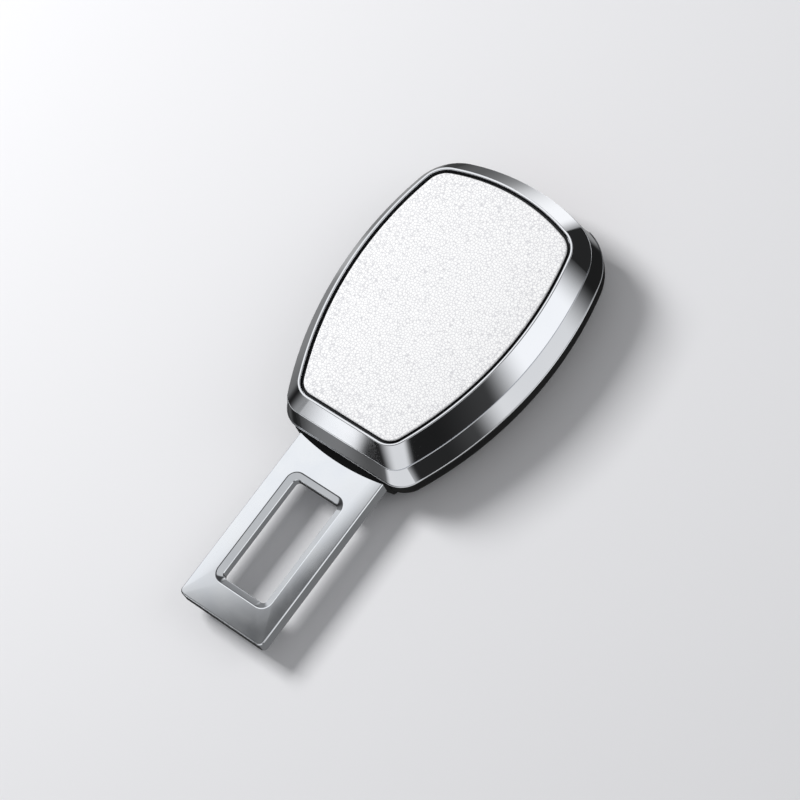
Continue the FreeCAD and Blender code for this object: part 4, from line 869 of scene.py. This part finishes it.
# %% Cards
UPPER_CARDS = ("#707070", [
    (-166, 28, "#202020"), (-134, 34, "#898989"), (-117.5, 1.0, "#F9F9F9"), (-116.3, 0.3, "#202020"),
    (-90, 56, "#D5D5D5"), (-26, 3, "#1C1C1C"), (-9, 20, "#3A3A3A"), (3.5, 13, "#F7F7F7"),
    (30.5, 11, "#242424"), (102.5, 5, "#F6F6F6"), (117, 18, "#7C7C7C"), (156, 16, "#CCCCCC"),
    (175, 6, "#707070"),
])
LOWER_CARDS = ("#686868", [
    (-160, 40, "#202020"), (-127.2, 0.5, "#6C6C6C"), (-125.8, 0.9, "#202020"), (-117, 26, "#D5D5D5"),
    (-28.5, 5, "#242424"), (-13, 10, "#3C3C3C"), (-4, 10, "#D7D7D7"), (32, 14, "#1C1C1C"),
    (106, 22, "#808080"), (124, 8, "#5A5A5A"), (131, 5, "#3C3C3C"), (146, 7, "#8E8E8E"),
    (156, 3, "#777777"), (159.5, 3, "#A0A0A0"), (164, 3, "#7C7C7C"), (176, 8, "#686868"),
])
STEEP_CARDS = ("#303030", [
    (-110, 40, "#6E6E6E"), (70, 30, "#303030"), (98, 20, "#8A8A8A"), (150, 24, "#5C5C5C"),
    (172, 12, "#303030"),
])


def stripes(tree, compass, cards):
    """The tone of a row of cards in a compass direction, in degrees."""
    start, edges = cards
    total = before = linear(start)[0]
    for at, width, colour in edges:
        after = linear(colour)[0]
        step = add_node(tree, "ShaderNodeMapRange", {
            "Value": compass, "From Min": at - width / 2, "From Max": at + width / 2,
            "To Min": 0, "To Max": after - before}, interpolation_type="SMOOTHSTEP").outputs["Result"]
        total = add_node(tree, "ShaderNodeMath", {0: total, 1: step}, operation="ADD").outputs["Value"]
        before = after
    return total


def blend_at(tree, value, limits, below, above):
    """One tone below two limits and another above them, with a soft change between."""
    low, high = limits
    share = add_node(tree, "ShaderNodeMapRange", {
        "Value": value, "From Min": low, "From Max": high},
        interpolation_type="SMOOTHSTEP").outputs["Result"]
    mix = add_node(tree, "ShaderNodeMix", {0: share, 2: below, 3: above}, data_type="FLOAT")
    return mix.outputs[0]


# %% The whole room
CARD_ROWS_MEET = (-29, -25)
STEEP_ROW_ENDS = (-57, -47)
CEILING_STARTS = (20, 32)
LAMP_WAY = Vector((-0.643, 0.291, 0.708))
CEILING_TONE = 0.5
LAMP_RINGS = [((0.6, 0.67), 0.05), ((0.8, 0.9), 0.115), ((0.9385, 0.95), 0.88)]


def rises(degrees):
    """How high a direction points, from -1 straight down to 1 straight up, for two tilts."""
    return [math.sin(math.radians(tilt)) for tilt in degrees]


def mirrored_room(tree, way):
    """The tone that a mirrored ray meets in the direction of its way."""
    parts = add_node(tree, "ShaderNodeSeparateXYZ", {"Vector": way})
    compass = add_node(tree, "ShaderNodeMath", {0: parts.outputs["Y"], 1: parts.outputs["X"]},
                       operation="ARCTAN2").outputs["Value"]
    compass = add_node(tree, "ShaderNodeMath", {0: compass}, operation="DEGREES").outputs["Value"]
    up = parts.outputs["Z"]
    rows = blend_at(tree, up, rises(CARD_ROWS_MEET), stripes(tree, compass, LOWER_CARDS),
                    stripes(tree, compass, UPPER_CARDS))
    rows = blend_at(tree, up, rises(STEEP_ROW_ENDS), stripes(tree, compass, STEEP_CARDS), rows)
    to_lamp = add_node(tree, "ShaderNodeVectorMath", {0: way, 1: LAMP_WAY},
                       operation="DOT_PRODUCT").outputs["Value"]
    ceiling = CEILING_TONE
    for limits, tone in LAMP_RINGS:
        ceiling = blend_at(tree, to_lamp, limits, ceiling, tone)
    return blend_at(tree, up, rises(CEILING_STARTS), rows, ceiling)


# %% [markdown]
# ## Studio
# The extender lies on a pale table, under a broad soft light on its left. A weaker one fills from the
# right. Mirrored rays pass through the table and meet the lower cards, which stand round its edge.

# %% Floor and lamps
FLOOR_SIZE, FLOOR_GAP_MM = 6, 0.05
AIM_MM = (0, -15, 10)

deselect()
bpy.ops.mesh.primitive_plane_add(size=FLOOR_SIZE, location=(0, 0, -FLOOR_GAP_MM * MM))
floor = bpy.context.object
floor.name = "studio_floor"
paper, tree, shader, place = new_material("pale_studio_floor")
shader.inputs["Base Color"].default_value = linear("#E2E2E4")
shader.inputs["Roughness"].default_value = 0.9
floor.data.materials.append(paper)
floor.visible_glossy = False


def soft_light(name, place_mm, size_mm, watts):
    """A square area light that points at the head."""
    data = bpy.data.lights.new(name, "AREA")
    data.shape = "SQUARE"
    data.size = size_mm * MM
    data.energy = watts
    lamp = bpy.data.objects.new(name, data)
    bpy.context.scene.collection.objects.link(lamp)
    lamp.location = Vector(place_mm) * MM
    lamp.rotation_mode = "QUATERNION"
    lamp.rotation_quaternion = (lamp.location - Vector(AIM_MM) * MM).to_track_quat("Z", "Y")
    lamp.visible_glossy = False
    print(name, "gives", watts, "W")


soft_light("key_softbox", (-470, -20, 500), 240, 4.4)
soft_light("fill_softbox", (420, 260, 420), 400, 0.6)

# %% World
MIRROR_STRENGTH = 1.25
EVEN_STRENGTH = 0.36

world = bpy.data.worlds.new("studio")
bpy.context.scene.world = world
world.use_nodes = True
tree = world.node_tree
back = next(n for n in tree.nodes if n.type == "BACKGROUND")
way = add_node(tree, "ShaderNodeTexCoord").outputs["Generated"]
light_path = add_node(tree, "ShaderNodeLightPath")
mirrored = add_node(tree, "ShaderNodeVectorMath", {
    0: mirrored_room(tree, way), "Scale": MIRROR_STRENGTH}, operation="SCALE").outputs["Vector"]
even_light = [channel * EVEN_STRENGTH for channel in linear("#EFF0F2")[:3]]
seen = add_node(tree, "ShaderNodeMix", {
    0: light_path.outputs["Is Glossy Ray"], 4: even_light, 5: mirrored}, data_type="VECTOR").outputs[1]
tree.links.new(seen, back.inputs["Color"])
bpy.context.scene.view_settings.view_transform = "Standard"
print("the mirrored room takes", len(tree.nodes), "nodes")
